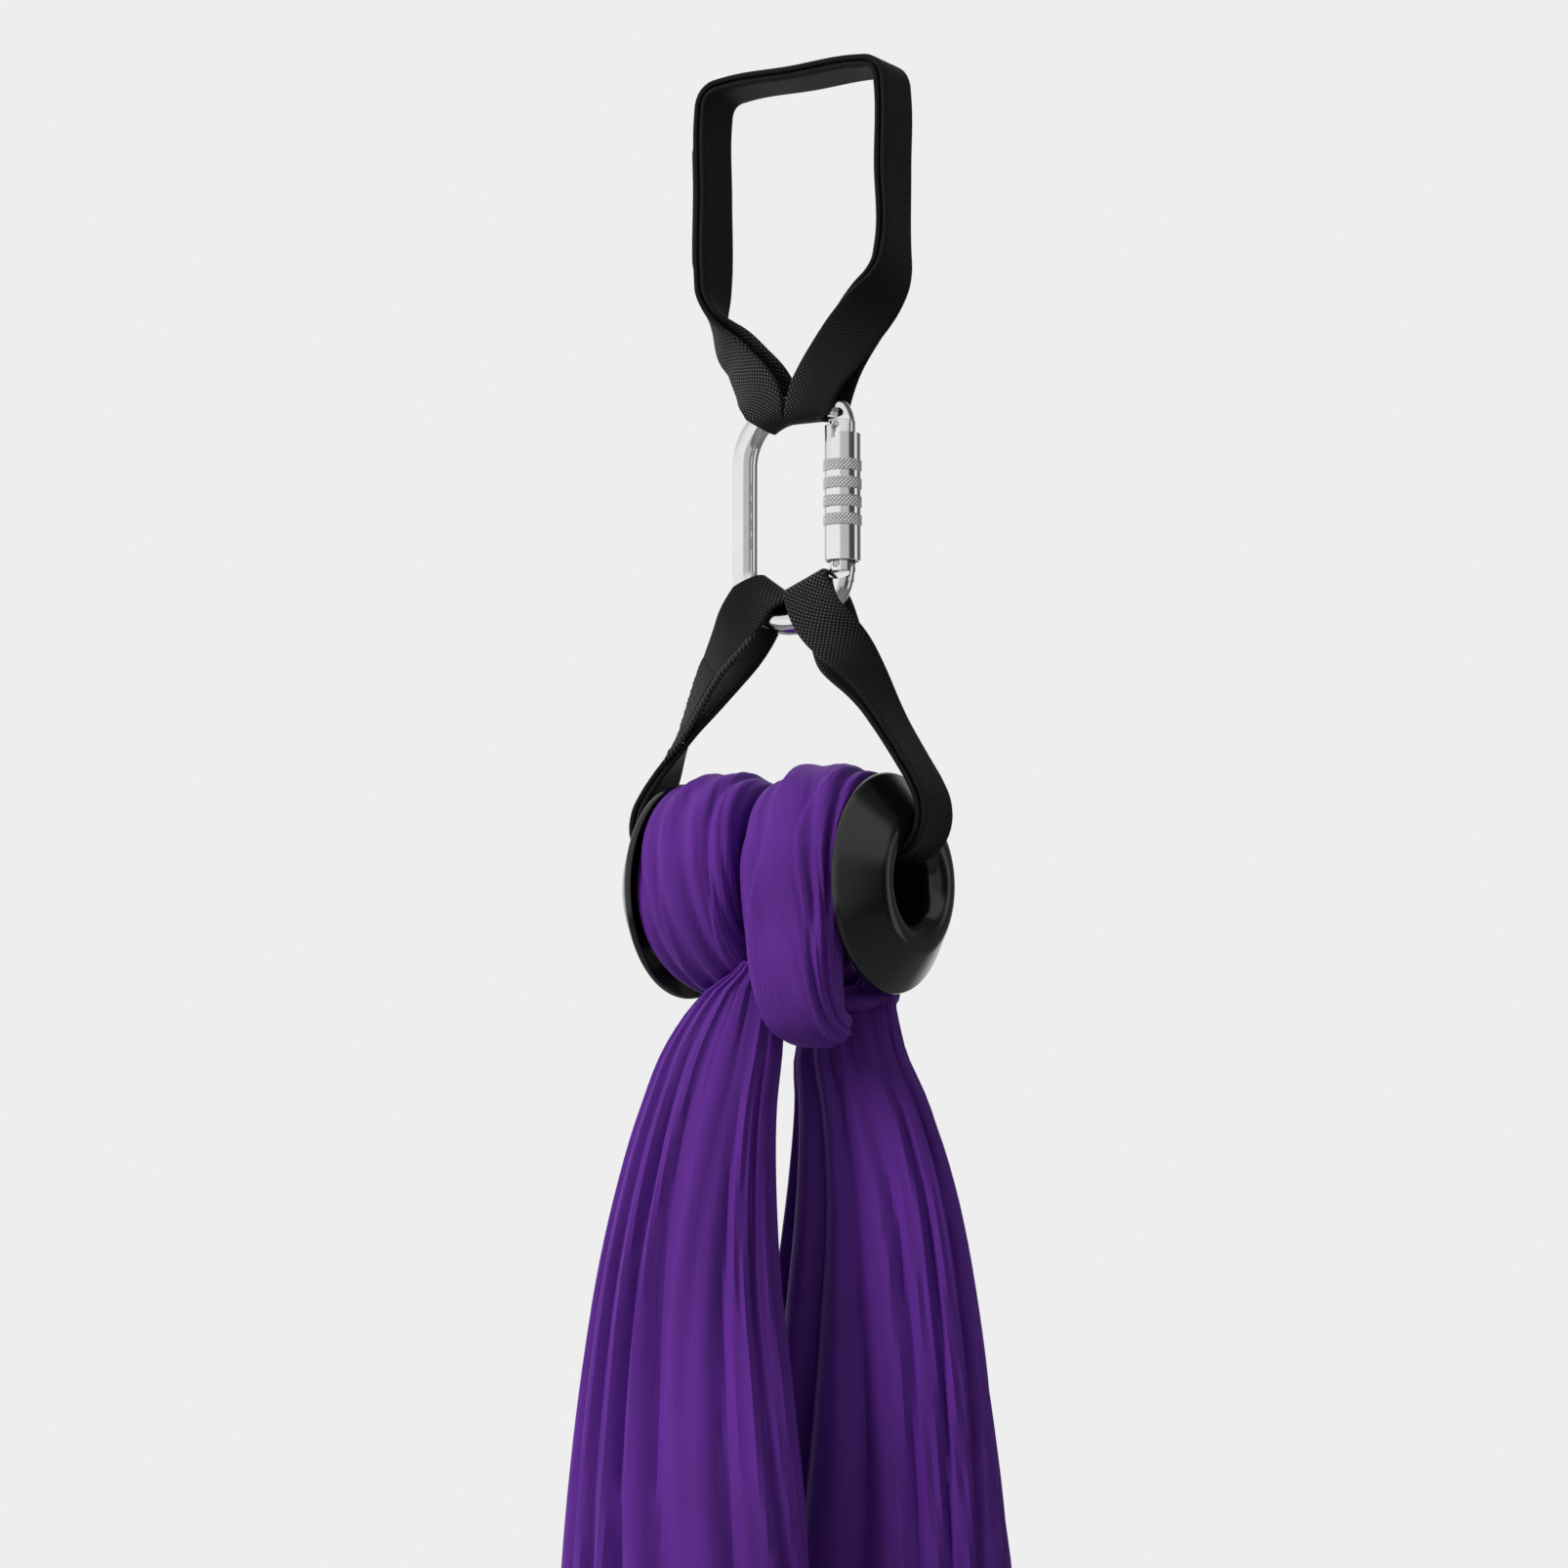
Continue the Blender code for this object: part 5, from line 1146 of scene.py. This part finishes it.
def tail_places(table, side, top_z, cut_width, seed):
    """A tail as one sheet rolled into an open spiral of folds, rows down and turns in."""
    down = (np.arange(TAIL_ROWS + 1) / TAIL_ROWS) ** TAIL_ROW_POWER
    first, last = table[0][0], table[-1][0]
    drop = first + (last - first) * down
    fine = carried(table, TAIL_STEP, lead=1)
    order = np.argsort(fine[:, 0])
    middle, half_width, off, half_depth = (
        np.interp(drop, fine[order, 0], fine[order, column])[:, None] for column in (1, 2, 3, 4))
    drop = drop[:, None]
    around = math.pi * np.sqrt(2 * (half_width ** 2 + half_depth ** 2)) * TAIL_FOLD_STRETCH
    share = TAIL_TURN_SHARE / 2
    room = np.maximum(1 - 4 * share * cut_width / around, 0)
    turns = np.minimum((1 - np.sqrt(room)) / (2 * share), TAIL_MOST_TURNS)
    along = np.linspace(0, 1, TAIL_COLUMNS + 1)[None, :] ** TAIL_COLUMN_POWER
    start = FRONT_ROLL_START if side < 0 else BACK_ROLL_START
    angle = start + TURN * turns * along
    scale = 1 - TAIL_TURN_SHARE * turns * along
    ring = angle % TURN
    sway = wander(seed, drop, (3.1, 7.3, 13.0), 0.8) + 0.5 * np.exp(-np.maximum(drop, 0) / 0.1)
    uneven = (0.016 * np.sin(2 * ring + 1.1 + seed + 4.0 * drop)
              + 0.012 * np.sin(3 * ring + 0.4 * seed - 6.0 * drop)
              + 0.007 * np.sin(5 * ring + 2.2 + 9.0 * drop))
    phase = TAIL_FOLD_COUNT * (ring / TURN + uneven) + sway
    broad = soft_fold(phase)
    small = soft_fold(2 * phase + 0.5 + wander(seed + 5, drop + 0.1 * ring, (5, 11), 0.9))
    thin = soft_fold(4 * phase + 0.25)
    deep = 0.55 + 0.45 * np.sin(2 * ring + wander(seed + 6, drop, (4, 9), 1.5))
    knot = TAIL_THIN_FOLD * np.exp(-np.maximum(drop, 0) / TAIL_THIN_DROP)
    reach = TAIL_FOLD_REACH + TAIL_OPEN_REACH * smoothstep(drop, *TAIL_OPENING)
    height = (reach * (0.40 + 0.60 * deep) * (broad - 0.55)
              + reach * TAIL_SMALL_SHARE * (1.1 - deep) * (small - 0.55) + knot * (thin - 0.6))
    height = np.minimum(height, half_depth * TAIL_DEPTH_SHARE)
    normal_x, normal_y = np.cos(angle) / half_width, np.sin(angle) / half_depth
    size = np.sqrt(normal_x ** 2 + normal_y ** 2)
    x = half_width * np.cos(angle) + height * normal_x / size
    y = half_depth * np.sin(angle) + height * normal_y / size
    places = np.zeros((TAIL_ROWS + 1, TAIL_COLUMNS + 1, 3))
    places[..., 0] = SPOOL_X + middle + scale * x
    places[..., 1] = side * off + scale * y
    places[..., 2] = top_z - drop
    return places


def tail(name, table, side, top_z, seed, material):
    """A hanging length as one thin sheet.

    SIDE is -1 for the front one and 1 for the back one."""
    settings = bpy.context.scene.silks_fabric
    places = tail_places(table, side, top_z, settings.cut_width, seed)
    sheet = woven_grid(name, places, cloth_uvs(places))
    shell = sheet.modifiers.new("thickness", "SOLIDIFY")
    shell.thickness = settings.thickness
    shell.offset = 0
    shell.use_even_offset = False
    keep_modified(sheet)
    sheet.data.shade_smooth()
    sheet.data.materials.clear()
    sheet.data.materials.append(material)
    label = "front" if side < 0 else "back"
    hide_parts("silk_tail_" + label)
    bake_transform(sheet)
    return sheet


# ---- Materials

def node_maker(tree):
    """A short way to add a tree's nodes, with their links, values and settings."""
    def node(kind, sockets=None, **settings):
        made = tree.nodes.new("ShaderNode" + kind)
        for key, value in settings.items():
            setattr(made, key, value)
        for key, value in (sockets or {}).items():
            if isinstance(value, bpy.types.NodeSocket):
                tree.links.new(value, made.inputs[key])
            else:
                made.inputs[key].default_value = value
        return made

    return node


def shader(name):
    """A new material, its shader, and the ways to add its nodes and links."""
    material = bpy.data.materials.new(name)
    material.use_nodes = True
    tree = material.node_tree
    return material, tree.nodes["Principled BSDF"], node_maker(tree), tree.links.new


def maths(node, operation, first, second=0.0):
    return node("Math", {0: first, 1: second}, operation=operation).outputs[0]


def remap(node, value, low, high, to_low=0.0, to_high=1.0, **settings):
    """A value between LOW and HIGH put between two others, and kept between them."""
    return node("MapRange", {0: value, 1: low, 2: high, 3: to_low, 4: to_high},
                **settings).outputs[0]


def mix(node, share, first, second):
    """A colour between two: each is another node's, or red, green and blue."""
    ends = [value if isinstance(value, bpy.types.NodeSocket) else (*value, 1)
            for value in (first, second)]
    return node("Mix", {0: share, 6: ends[0], 7: ends[1]}, data_type="RGBA").outputs[2]


def noise(node, place, scale, detail=2.0, distortion=0.0):
    return node("TexNoise", {"Vector": place, "Scale": scale, "Detail": detail,
                             "Distortion": distortion}).outputs["Fac"]


def stretched(node, place, scale):
    return node("Mapping", {0: place, 3: scale}).outputs[0]


def bumped(node, strength, distance, height):
    return node("Bump", {"Strength": strength, "Distance": distance,
                         "Height": height}).outputs[0]


def set_values(base, values):
    for name, value in values.items():
        base.inputs[name].default_value = value


# Where painted highlights go on the webbing's yarn crowns: near its eyes, where it is stretched
# over the bows
HIGHLIGHT_PLACES = ((-0.0230, -0.0080, -0.1390), (0.0100, -0.0090, -0.2430))
HIGHLIGHT_REACH = (0.012, 0.038)
HIGHLIGHT_LEAST = 0.05
# Colours of worn thread, the painted shade in the knurl's grooves, the pins and rubbed
# moulding, and the tint of the silk's sheen
WORN_THREAD = (0.045, 0.045, 0.046)
GROOVE_SHADE = (0.12, 0.12, 0.125)
PIN_COLOUR = (0.52, 0.52, 0.53)
RUBBED_GLOSS = (0.011, 0.011, 0.011)
SILK_SHEEN = (0.60, 0.30, 0.95, 1)
# How much rougher the steel is where it is worn, how much rougher the knurled bands are, and
# the pins' roughness and wear
STEEL_WEAR = 0.6
KNURL_ROUGHNESS = 1.4
PIN_ROUGHNESS = 0.32
PIN_WEAR = 0.8


def highlight_place(node, centre):
    """How strongly the webbing's painted highlight shows, 1 at CENTRE and next to nothing beyond
    the reach.
    """
    far = node("VectorMath", {0: node("TexCoord").outputs["Object"], 1: centre},
               operation="DISTANCE")
    return remap(node, far.outputs["Value"], *HIGHLIGHT_REACH, 1.0, HIGHLIGHT_LEAST,
                 interpolation_type="SMOOTHSTEP")


def web_material(settings):
    """Black webbing: staggered yarn crowns along the cloth, painted lighter near the eyes as a
    painted highlight, and a low sheen.
    """
    material, base, node, link = shader("woven_webbing")
    place = node("UVMap", uv_map="UVMap")
    parts = node("SeparateXYZ", {0: place.outputs["UV"]})
    step = TURN / (2 * settings.yarn_pitch)
    wide = maths(node, "MULTIPLY", parts.outputs["X"], step)
    long = maths(node, "MULTIPLY", parts.outputs["Y"], step)
    crowns = maths(node, "MULTIPLY", maths(node, "COSINE", wide), maths(node, "COSINE", long))
    ribs = maths(node, "COSINE", maths(node, "MULTIPLY", long, 2.0))
    bright = remap(node, crowns, 0.22, 0.85)
    # Masks for the painted highlight on the yarn crowns, one at each eye
    highlit = [highlight_place(node, centre) for centre in HIGHLIGHT_PLACES]
    highlight_share = maths(node, "MAXIMUM", highlit[0], highlit[1])
    highlight_amount = maths(node, "MULTIPLY", bright, highlight_share)
    # The crowns near the eyes get the lighter colour: a painted highlight
    link(mix(node, highlight_amount, settings.web_colour, settings.crown_highlight_colour),
         base.inputs["Base Color"])
    fuzz = noise(node, node("TexCoord").outputs["Object"], 900.0)
    height = maths(node, "ADD", maths(node, "MULTIPLY", crowns, 0.6),
                   maths(node, "ADD", maths(node, "MULTIPLY", ribs, 0.25),
                         maths(node, "MULTIPLY", fuzz, 0.35)))
    link(bumped(node, 0.7, 0.00022, height), base.inputs["Normal"])
    link(remap(node, highlight_amount, 0.0, 1.0, 0.60, 0.42), base.inputs["Roughness"])
    set_values(base, {"Sheen Weight": 0.03, "Sheen Roughness": 0.45,
                      "Specular IOR Level": 0.16})
    return material


def thread_material(settings):
    """Waxed black thread with a fine lay."""
    material, base, node, link = shader("waxed_thread")
    lay = node("TexWave", {"Vector": node("TexCoord").outputs["Object"], "Scale": 420.0,
                           "Distortion": 1.5}, wave_type="BANDS",
               bands_direction="DIAGONAL").outputs["Fac"]
    link(mix(node, lay, settings.thread_colour, WORN_THREAD), base.inputs["Base Color"])
    link(bumped(node, 0.5, 0.0002, lay), base.inputs["Normal"])
    set_values(base, {"Roughness": 0.5})
    return material


def steel_material(name, colour, roughness, wear):
    """Polished steel: faint brushing, a little unevenness and fine wear."""
    material, base, node, link = shader(name)
    place = node("TexCoord").outputs["Object"]
    cloud = noise(node, place, 38.0, 4.0)
    hair = noise(node, stretched(node, place, (1800, 1800, 120)), 1.0, 3.0)
    mixed = maths(node, "ADD", maths(node, "MULTIPLY", cloud, 0.6),
                  maths(node, "MULTIPLY", hair, 0.4))
    link(remap(node, mixed, 0.3, 0.7, roughness * 0.7, roughness * (1 + wear)),
         base.inputs["Roughness"])
    dull = tuple(value * 0.90 for value in colour)
    link(mix(node, remap(node, mixed, 0.3, 0.7), colour, dull), base.inputs["Base Color"])
    link(bumped(node, 0.02, 0.00003, hair), base.inputs["Normal"])
    set_values(base, {"Metallic": 1.0})
    return material


def knurled_steel(settings):
    """The sleeve's steel with painted shade in the grooves between the knurl's diamonds."""
    material = steel_material("knurled_steel", tuple(settings.steel_colour),
                              settings.steel_roughness * KNURL_ROUGHNESS, STEEL_WEAR)
    base = material.node_tree.nodes["Principled BSDF"]
    node = node_maker(material.node_tree)
    place = node("SeparateXYZ", {0: node("TexCoord").outputs["Object"]})
    beside = maths(node, "SUBTRACT", place.outputs["X"], GATE_X)
    turn = maths(node, "ARCTAN2", place.outputs["Y"], beside)
    wave = maths(node, "MULTIPLY", turn, settings.knurl_teeth / 2)
    climb = maths(node, "MULTIPLY", place.outputs["Z"], math.pi / KNURL_PITCH)
    ridges = [maths(node, "ABSOLUTE", maths(node, "SINE", maths(node, operation, wave, climb)))
              for operation in ("ADD", "SUBTRACT")]
    crest = remap(node, maths(node, "MULTIPLY", *ridges), 0.02, 0.22)
    # The grooves between the diamonds are painted dark: painted shade
    plain = base.inputs["Base Color"].links[0].from_socket
    material.node_tree.links.new(mix(node, crest, GROOVE_SHADE, plain),
                                 base.inputs["Base Color"])
    return material


def gloss_material(settings):
    """Glossy black moulding: a soft orange peel and scuffed patches."""
    material, base, node, link = shader("gloss_moulding")
    place = node("TexCoord").outputs["Object"]
    peel = noise(node, place, 260.0)
    rub = noise(node, place, 26.0, 5.0)
    link(remap(node, rub, 0.35, 0.75, settings.spool_roughness * 0.9,
               settings.spool_roughness * 1.25), base.inputs["Roughness"])
    link(mix(node, rub, settings.spool_colour, RUBBED_GLOSS), base.inputs["Base Color"])
    link(bumped(node, 0.10, 0.0001, peel), base.inputs["Normal"])
    set_values(base, {"Specular IOR Level": 0.5})
    return material


def silk_material(settings):
    """Knitted nylon: fine ribs along the cloth, small crinkles and a soft sheen."""
    material, base, node, link = shader("knitted_silk")
    place = node("TexCoord").outputs["Object"]
    cloth = node("UVMap", uv_map="UVMap").outputs["UV"]
    cloud = noise(node, place, 16.0, 5.0)
    deep = tuple(value * 0.80 for value in settings.silk_colour)
    link(mix(node, remap(node, cloud, 0.3, 0.7), settings.silk_colour, deep),
         base.inputs["Base Color"])
    ribs = node("TexWave", {"Vector": stretched(node, cloth, (1, 0.02, 1)), "Scale": 620.0,
                            "Distortion": 1.0, "Detail": 1.0},
                wave_type="BANDS", bands_direction="X")
    crinkle = noise(node, stretched(node, cloth, (160, 26, 1)), 1.0, 3.0, 0.6)
    grain = noise(node, place, 1500.0, 1.0)
    height = maths(node, "ADD", crinkle,
                   maths(node, "ADD", maths(node, "MULTIPLY", ribs.outputs["Fac"], 0.02),
                         maths(node, "MULTIPLY", grain, 0.05)))
    link(bumped(node, 0.35, 0.0009, height), base.inputs["Normal"])
    link(remap(node, grain, 0.0, 1.0, 0.50, 0.62), base.inputs["Roughness"])
    set_values(base, {"Sheen Weight": 0.16, "Sheen Roughness": 0.35, "Sheen Tint": SILK_SHEEN,
                      "Specular IOR Level": 0.20})
    return material


def finish_nodes(material, *names):
    """Gives the solids that stay in sight their finish."""
    for name in names:
        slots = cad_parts[name].material_slots
        if slots:
            for slot in slots:
                slot.material = material
        else:
            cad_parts[name].data.materials.append(material)


# ---- Operators

def finish_for(name, make, *values):
    """A finish made once and used by every piece that has it."""
    return bpy.data.materials.get(name) or make(*values)


class SILKS_OT_upper_sling(bpy.types.Operator):
    """Makes the sling over the support, with its splice and stitches"""
    bl_idname = "silks.upper_sling"
    bl_label = "Upper sling"

    def execute(self, context):
        settings = context.scene.silks_sling
        web = finish_for("woven_webbing", web_material, settings)
        thread = finish_for("waxed_thread", thread_material, settings)
        span = SPLICE_SPANS["upper_sling"]
        sling("upper_sling_band", UPPER_ROUTE, 1, UPPER_EYES, True, web, "upper_sling",
              "upper_sling")
        splice("upper_sling_overlap", UPPER_ROUTE, 1, span, web, "upper_sling",
               "upper_sling_splice")
        stitches("upper_sling_stitches", UPPER_ROUTE, 1, span, thread, "upper_sling")
        return {"FINISHED"}


class SILKS_OT_lower_sling(bpy.types.Operator):
    """Makes the sling through the spool, with its splice, stitches and sewn edge"""
    bl_idname = "silks.lower_sling"
    bl_label = "Lower sling"

    def execute(self, context):
        settings = context.scene.silks_sling
        web = finish_for("woven_webbing", web_material, settings)
        thread = finish_for("waxed_thread", thread_material, settings)
        span = SPLICE_SPANS["lower_sling"]
        sling("lower_sling_band", LOWER_ROUTE, -1, LOWER_EYES, False, web, "lower_sling",
              "lower_sling")
        splice("lower_sling_overlap", LOWER_ROUTE, -1, span, web, "lower_sling",
               "lower_sling_splice")
        stitches("lower_sling_stitches", LOWER_ROUTE, -1, span, thread, "lower_sling")
        edge_cord("lower_sling_edge_cord", LOWER_ROUTE, -1, thread, "lower_sling")
        return {"FINISHED"}


class SILKS_OT_carabiner(bpy.types.Operator):
    """Makes the carabiner's bar, its gate and the twist sleeve with its knurl"""
    bl_idname = "silks.carabiner"
    bl_label = "Carabiner"

    def execute(self, context):
        settings = context.scene.silks_carabiner
        steel = finish_for("mirror_steel", steel_material, "mirror_steel",
                           tuple(settings.steel_colour), settings.steel_roughness, STEEL_WEAR)
        pin = finish_for("satin_steel", steel_material, "satin_steel", PIN_COLOUR,
                         PIN_ROUGHNESS, PIN_WEAR)
        carabiner_bar(steel)
        gate_bar(steel)
        twist_sleeve(steel)
        bands = [knurled_band(BAND_TOP_Z - index * BAND_PITCH, settings.knurl_teeth,
                              settings.knurl_depth) for index in range(BAND_COUNT)]
        knurled = finish_for("knurled_steel", knurled_steel, settings)
        for index, band in enumerate(bands):
            band.name = "knurl_band_%d" % (index + 1)
            dress(band, knurled, "polished_steel", "sleeve")
        finish_nodes(pin, "latch_pin", "gate_rivet", "sleeve_guide_pin",
                     "sleeve_retaining_ring", "sleeve_spring", "gate_spring", "gate_plunger")
        return {"FINISHED"}


class SILKS_OT_spool(bpy.types.Operator):
    """Makes the spool's two flanges and finishes its core"""
    bl_idname = "silks.spool"
    bl_label = "Spool"

    def execute(self, context):
        gloss = finish_for("gloss_moulding", gloss_material, context.scene.silks_spool)
        flange("flange_right", 1, gloss)
        flange("flange_left", -1, gloss)
        finish_nodes(gloss, "spool_core")
        return {"FINISHED"}


class SILKS_OT_fabric(bpy.types.Operator):
    """Makes the hitch round the spool and the two hanging tails"""
    bl_idname = "silks.fabric"
    bl_label = "Fabric"

    def execute(self, context):
        settings = context.scene.silks_fabric
        silk = finish_for("knitted_silk", silk_material, settings)
        hitch = wrap(silk)
        turn = back_turn(silk)
        front = tail("silk_front_tail", FRONT_TAIL, -1, FRONT_TOP_Z, 3, silk)
        back = tail("silk_rear_tail", BACK_TAIL, 1, BACK_TOP_Z, 11, silk)
        return {"FINISHED"}


class SILKS_OT_stage(bpy.types.Operator):
    """Makes the floor, the lights, the pale surroundings and the camera"""
    bl_idname = "silks.stage"
    bl_label = "Stage"

    def execute(self, context):
        settings = context.scene.silks_stage
        make_floor(settings)
        make_world(settings)
        make_lights(settings)
        make_camera(settings)
        return {"FINISHED"}


# ---- The stage

# The floor, and how much it glows for the camera alone
FLOOR_Z = -2.34
FLOOR_SIZE = 9.0
FLOOR_GLOW = 0.6
# The camera's turn from the front to the right, its distance from the spool's axis, its
# height, and its sensor in millimetres
CAMERA_AZIMUTH = math.radians(32)
CAMERA_DISTANCE = 1.7
CAMERA_Z = -0.478
CAMERA_SENSOR = 36
# The camera's turn and tilt away from the spool's middle, in radians
CAMERA_AIM = (0.0009782, 0.0272774)


def make_floor(settings):
    bm = bmesh.new()
    bmesh.ops.create_grid(bm, x_segments=2, y_segments=2, size=FLOOR_SIZE / 2)
    bmesh.ops.translate(bm, vec=(0, 0, FLOOR_Z), verts=bm.verts)
    floor = object_from("floor", bm)
    material, base, node, link = shader("pale_floor")
    pale = settings.background
    grain = noise(node, node("TexCoord").outputs["Object"], 4.0)
    link(mix(node, grain, (pale,) * 3, (pale * 0.99,) * 3), base.inputs["Base Color"])
    set_values(base, {"Roughness": 0.9, "Specular IOR Level": 0.2,
                      "Emission Color": (pale, pale, pale, 1)})
    seen = maths(node, "MULTIPLY", node("LightPath").outputs["Is Camera Ray"], FLOOR_GLOW)
    link(seen, base.inputs["Emission Strength"])
    floor.data.materials.append(material)


# The studio that the gloss mirrors, as turns from the back over the left, and levels: its
# walls, its ceiling and its ground
STUDIO_PANELS = ((0.0, 0.16), (0.05, 0.85), (0.19, 0.85), (0.22, 1.0), (0.53, 1.0),
                 (0.56, 0.58), (0.69, 0.56), (0.715, 0.08), (0.805, 0.06), (0.83, 0.92),
                 (0.865, 0.92), (0.89, 0.14), (1.0, 0.16))
CEILING_PANELS = ((0.0, 0.55), (0.45, 0.90), (0.785, 0.90), (0.82, 0.10), (1.0, 0.10))
GROUND_LEVEL = 0.45
# How high and how low a way points where the ceiling and the ground take over
CEILING_RISE = (0.20, 0.38)
GROUND_FALL = (-0.50, -0.75)
# The dim light that falls on everything else
PLAIN_COLOUR = (0.90, 0.93, 1.0, 1)
PLAIN_STRENGTH = 0.19
LIGHT_AIM = (0, 0, -0.45)
# Each light's name, place, size, the setting of its power, and its colour
LIGHTS = (
    ("key", (-1.25, -1.62, 0.70), (0.9, 1.2), "key_power", (1, 0.98, 0.96)),
    ("fill", (1.9, -0.7, 0.3), (0.5, 0.9), "fill_power", (0.95, 0.97, 1)),
    ("rim", (0.6, 1.7, 0.5), (1.2, 1.2), "fill_power", (1, 1, 1)),
)


def make_world(settings):
    """A pale surround for the camera, a studio for the gloss, and a dimmer light elsewhere."""
    world = bpy.data.worlds.new("pale_surround")
    world.use_nodes = True
    bpy.context.scene.world = world
    nodes, node = world.node_tree.nodes, node_maker(world.node_tree)
    plain = nodes["Background"]
    set_values(plain, {"Color": PLAIN_COLOUR, "Strength": PLAIN_STRENGTH})
    pale = settings.background
    way = node("SeparateXYZ", {0: node("TexCoord").outputs["Generated"]})
    front = maths(node, "MULTIPLY", way.outputs["Y"], -1.0)
    azimuth = maths(node, "ARCTAN2", way.outputs["X"], front)
    round_share = maths(node, "ADD", maths(node, "DIVIDE", azimuth, TURN), 0.5)

    def ring(table):
        """The levels of a table of panels round the upright axis."""
        panels = node("ValToRGB", {0: round_share})
        ramp = panels.color_ramp.elements
        for index, (place, level) in enumerate(table):
            stop = ramp[index] if index < 2 else ramp.new(place)
            stop.position, stop.color = place, (level, level, level, 1)
        return panels.outputs[0]

    above = remap(node, way.outputs["Z"], *CEILING_RISE)
    below = remap(node, way.outputs["Z"], *GROUND_FALL)
    ceiling = mix(node, above, ring(STUDIO_PANELS), ring(CEILING_PANELS))
    mirrored = node("Background", {0: mix(node, below, ceiling, (GROUND_LEVEL,) * 3)})
    seen = node("Background", {0: (pale, pale, pale, 1)})
    path = node("LightPath")
    glossy = node("MixShader", {0: path.outputs["Is Glossy Ray"], 1: plain.outputs[0],
                                2: mirrored.outputs[0]})
    clear = maths(node, "MAXIMUM", path.outputs["Is Camera Ray"],
                  path.outputs["Is Transmission Ray"])
    whole = node("MixShader", {0: clear, 1: glossy.outputs[0], 2: seen.outputs[0]})
    world.node_tree.links.new(whole.outputs[0], nodes["World Output"].inputs["Surface"])


def make_lights(settings):
    """Area lights that the gloss doesn't mirror, aimed just below the hitch."""
    for name, place, size, power, colour in LIGHTS:
        data = bpy.data.lights.new(name, "AREA")
        data.shape = "RECTANGLE"
        data.size, data.size_y = size
        data.energy = getattr(settings, power)
        data.color = colour
        lamp = bpy.data.objects.new(name, data)
        lamp.location = place
        way = Vector(LIGHT_AIM) - Vector(place)
        lamp.rotation_euler = way.to_track_quat("-Z", "Y").to_euler()
        lamp.visible_glossy = False
        bpy.context.scene.collection.objects.link(lamp)


def make_camera(settings):
    data = bpy.data.cameras.new("camera")
    data.lens = settings.focal_length
    data.sensor_width = CAMERA_SENSOR
    camera = bpy.data.objects.new("camera", data)
    place = Vector((SPOOL_X + CAMERA_DISTANCE * math.sin(CAMERA_AZIMUTH),
                    -CAMERA_DISTANCE * math.cos(CAMERA_AZIMUTH), CAMERA_Z))
    rise = math.atan2(SPOOL_Z - place.z, CAMERA_DISTANCE)
    camera.location = place
    camera.rotation_euler = (math.pi / 2 + rise + CAMERA_AIM[1], 0,
                             CAMERA_AZIMUTH + CAMERA_AIM[0])
    bpy.context.scene.collection.objects.link(camera)
    bpy.context.scene.camera = camera


class SILKS_PT_panel(bpy.types.Panel):
    """The silks' settings and operators"""
    bl_idname = "SILKS_PT_panel"
    bl_label = "Aerial Silks"
    bl_space_type = "VIEW_3D"
    bl_region_type = "UI"
    bl_category = "Silks"

    def draw(self, context):
        for group in SETTINGS:
            settings = getattr(context.scene, group)
            box = self.layout.box()
            for name in settings.__annotations__:
                box.prop(settings, name)
        for operator in OPERATORS:
            self.layout.operator(operator.bl_idname)


SETTINGS = {"silks_sling": SlingSettings, "silks_carabiner": CarabinerSettings,
            "silks_spool": SpoolSettings, "silks_fabric": FabricSettings,
            "silks_stage": StageSettings}
OPERATORS = (SILKS_OT_stage, SILKS_OT_upper_sling, SILKS_OT_lower_sling, SILKS_OT_carabiner,
             SILKS_OT_spool, SILKS_OT_fabric)


def register():
    for kind in (*SETTINGS.values(), *OPERATORS, SILKS_PT_panel):
        bpy.utils.register_class(kind)
    for name, kind in SETTINGS.items():
        setattr(bpy.types.Scene, name, PointerProperty(type=kind))


def unregister():
    for name in SETTINGS:
        delattr(bpy.types.Scene, name)
    for kind in (SILKS_PT_panel, *OPERATORS[::-1], *SETTINGS.values()):
        bpy.utils.unregister_class(kind)


def main():
    register()
    bpy.context.scene.view_settings.view_transform = "Standard"
    bpy.ops.silks.stage()
    bpy.ops.silks.upper_sling()
    bpy.ops.silks.lower_sling()
    bpy.ops.silks.carabiner()
    bpy.ops.silks.spool()
    bpy.ops.silks.fabric()


if __name__ == "__main__":
    main()
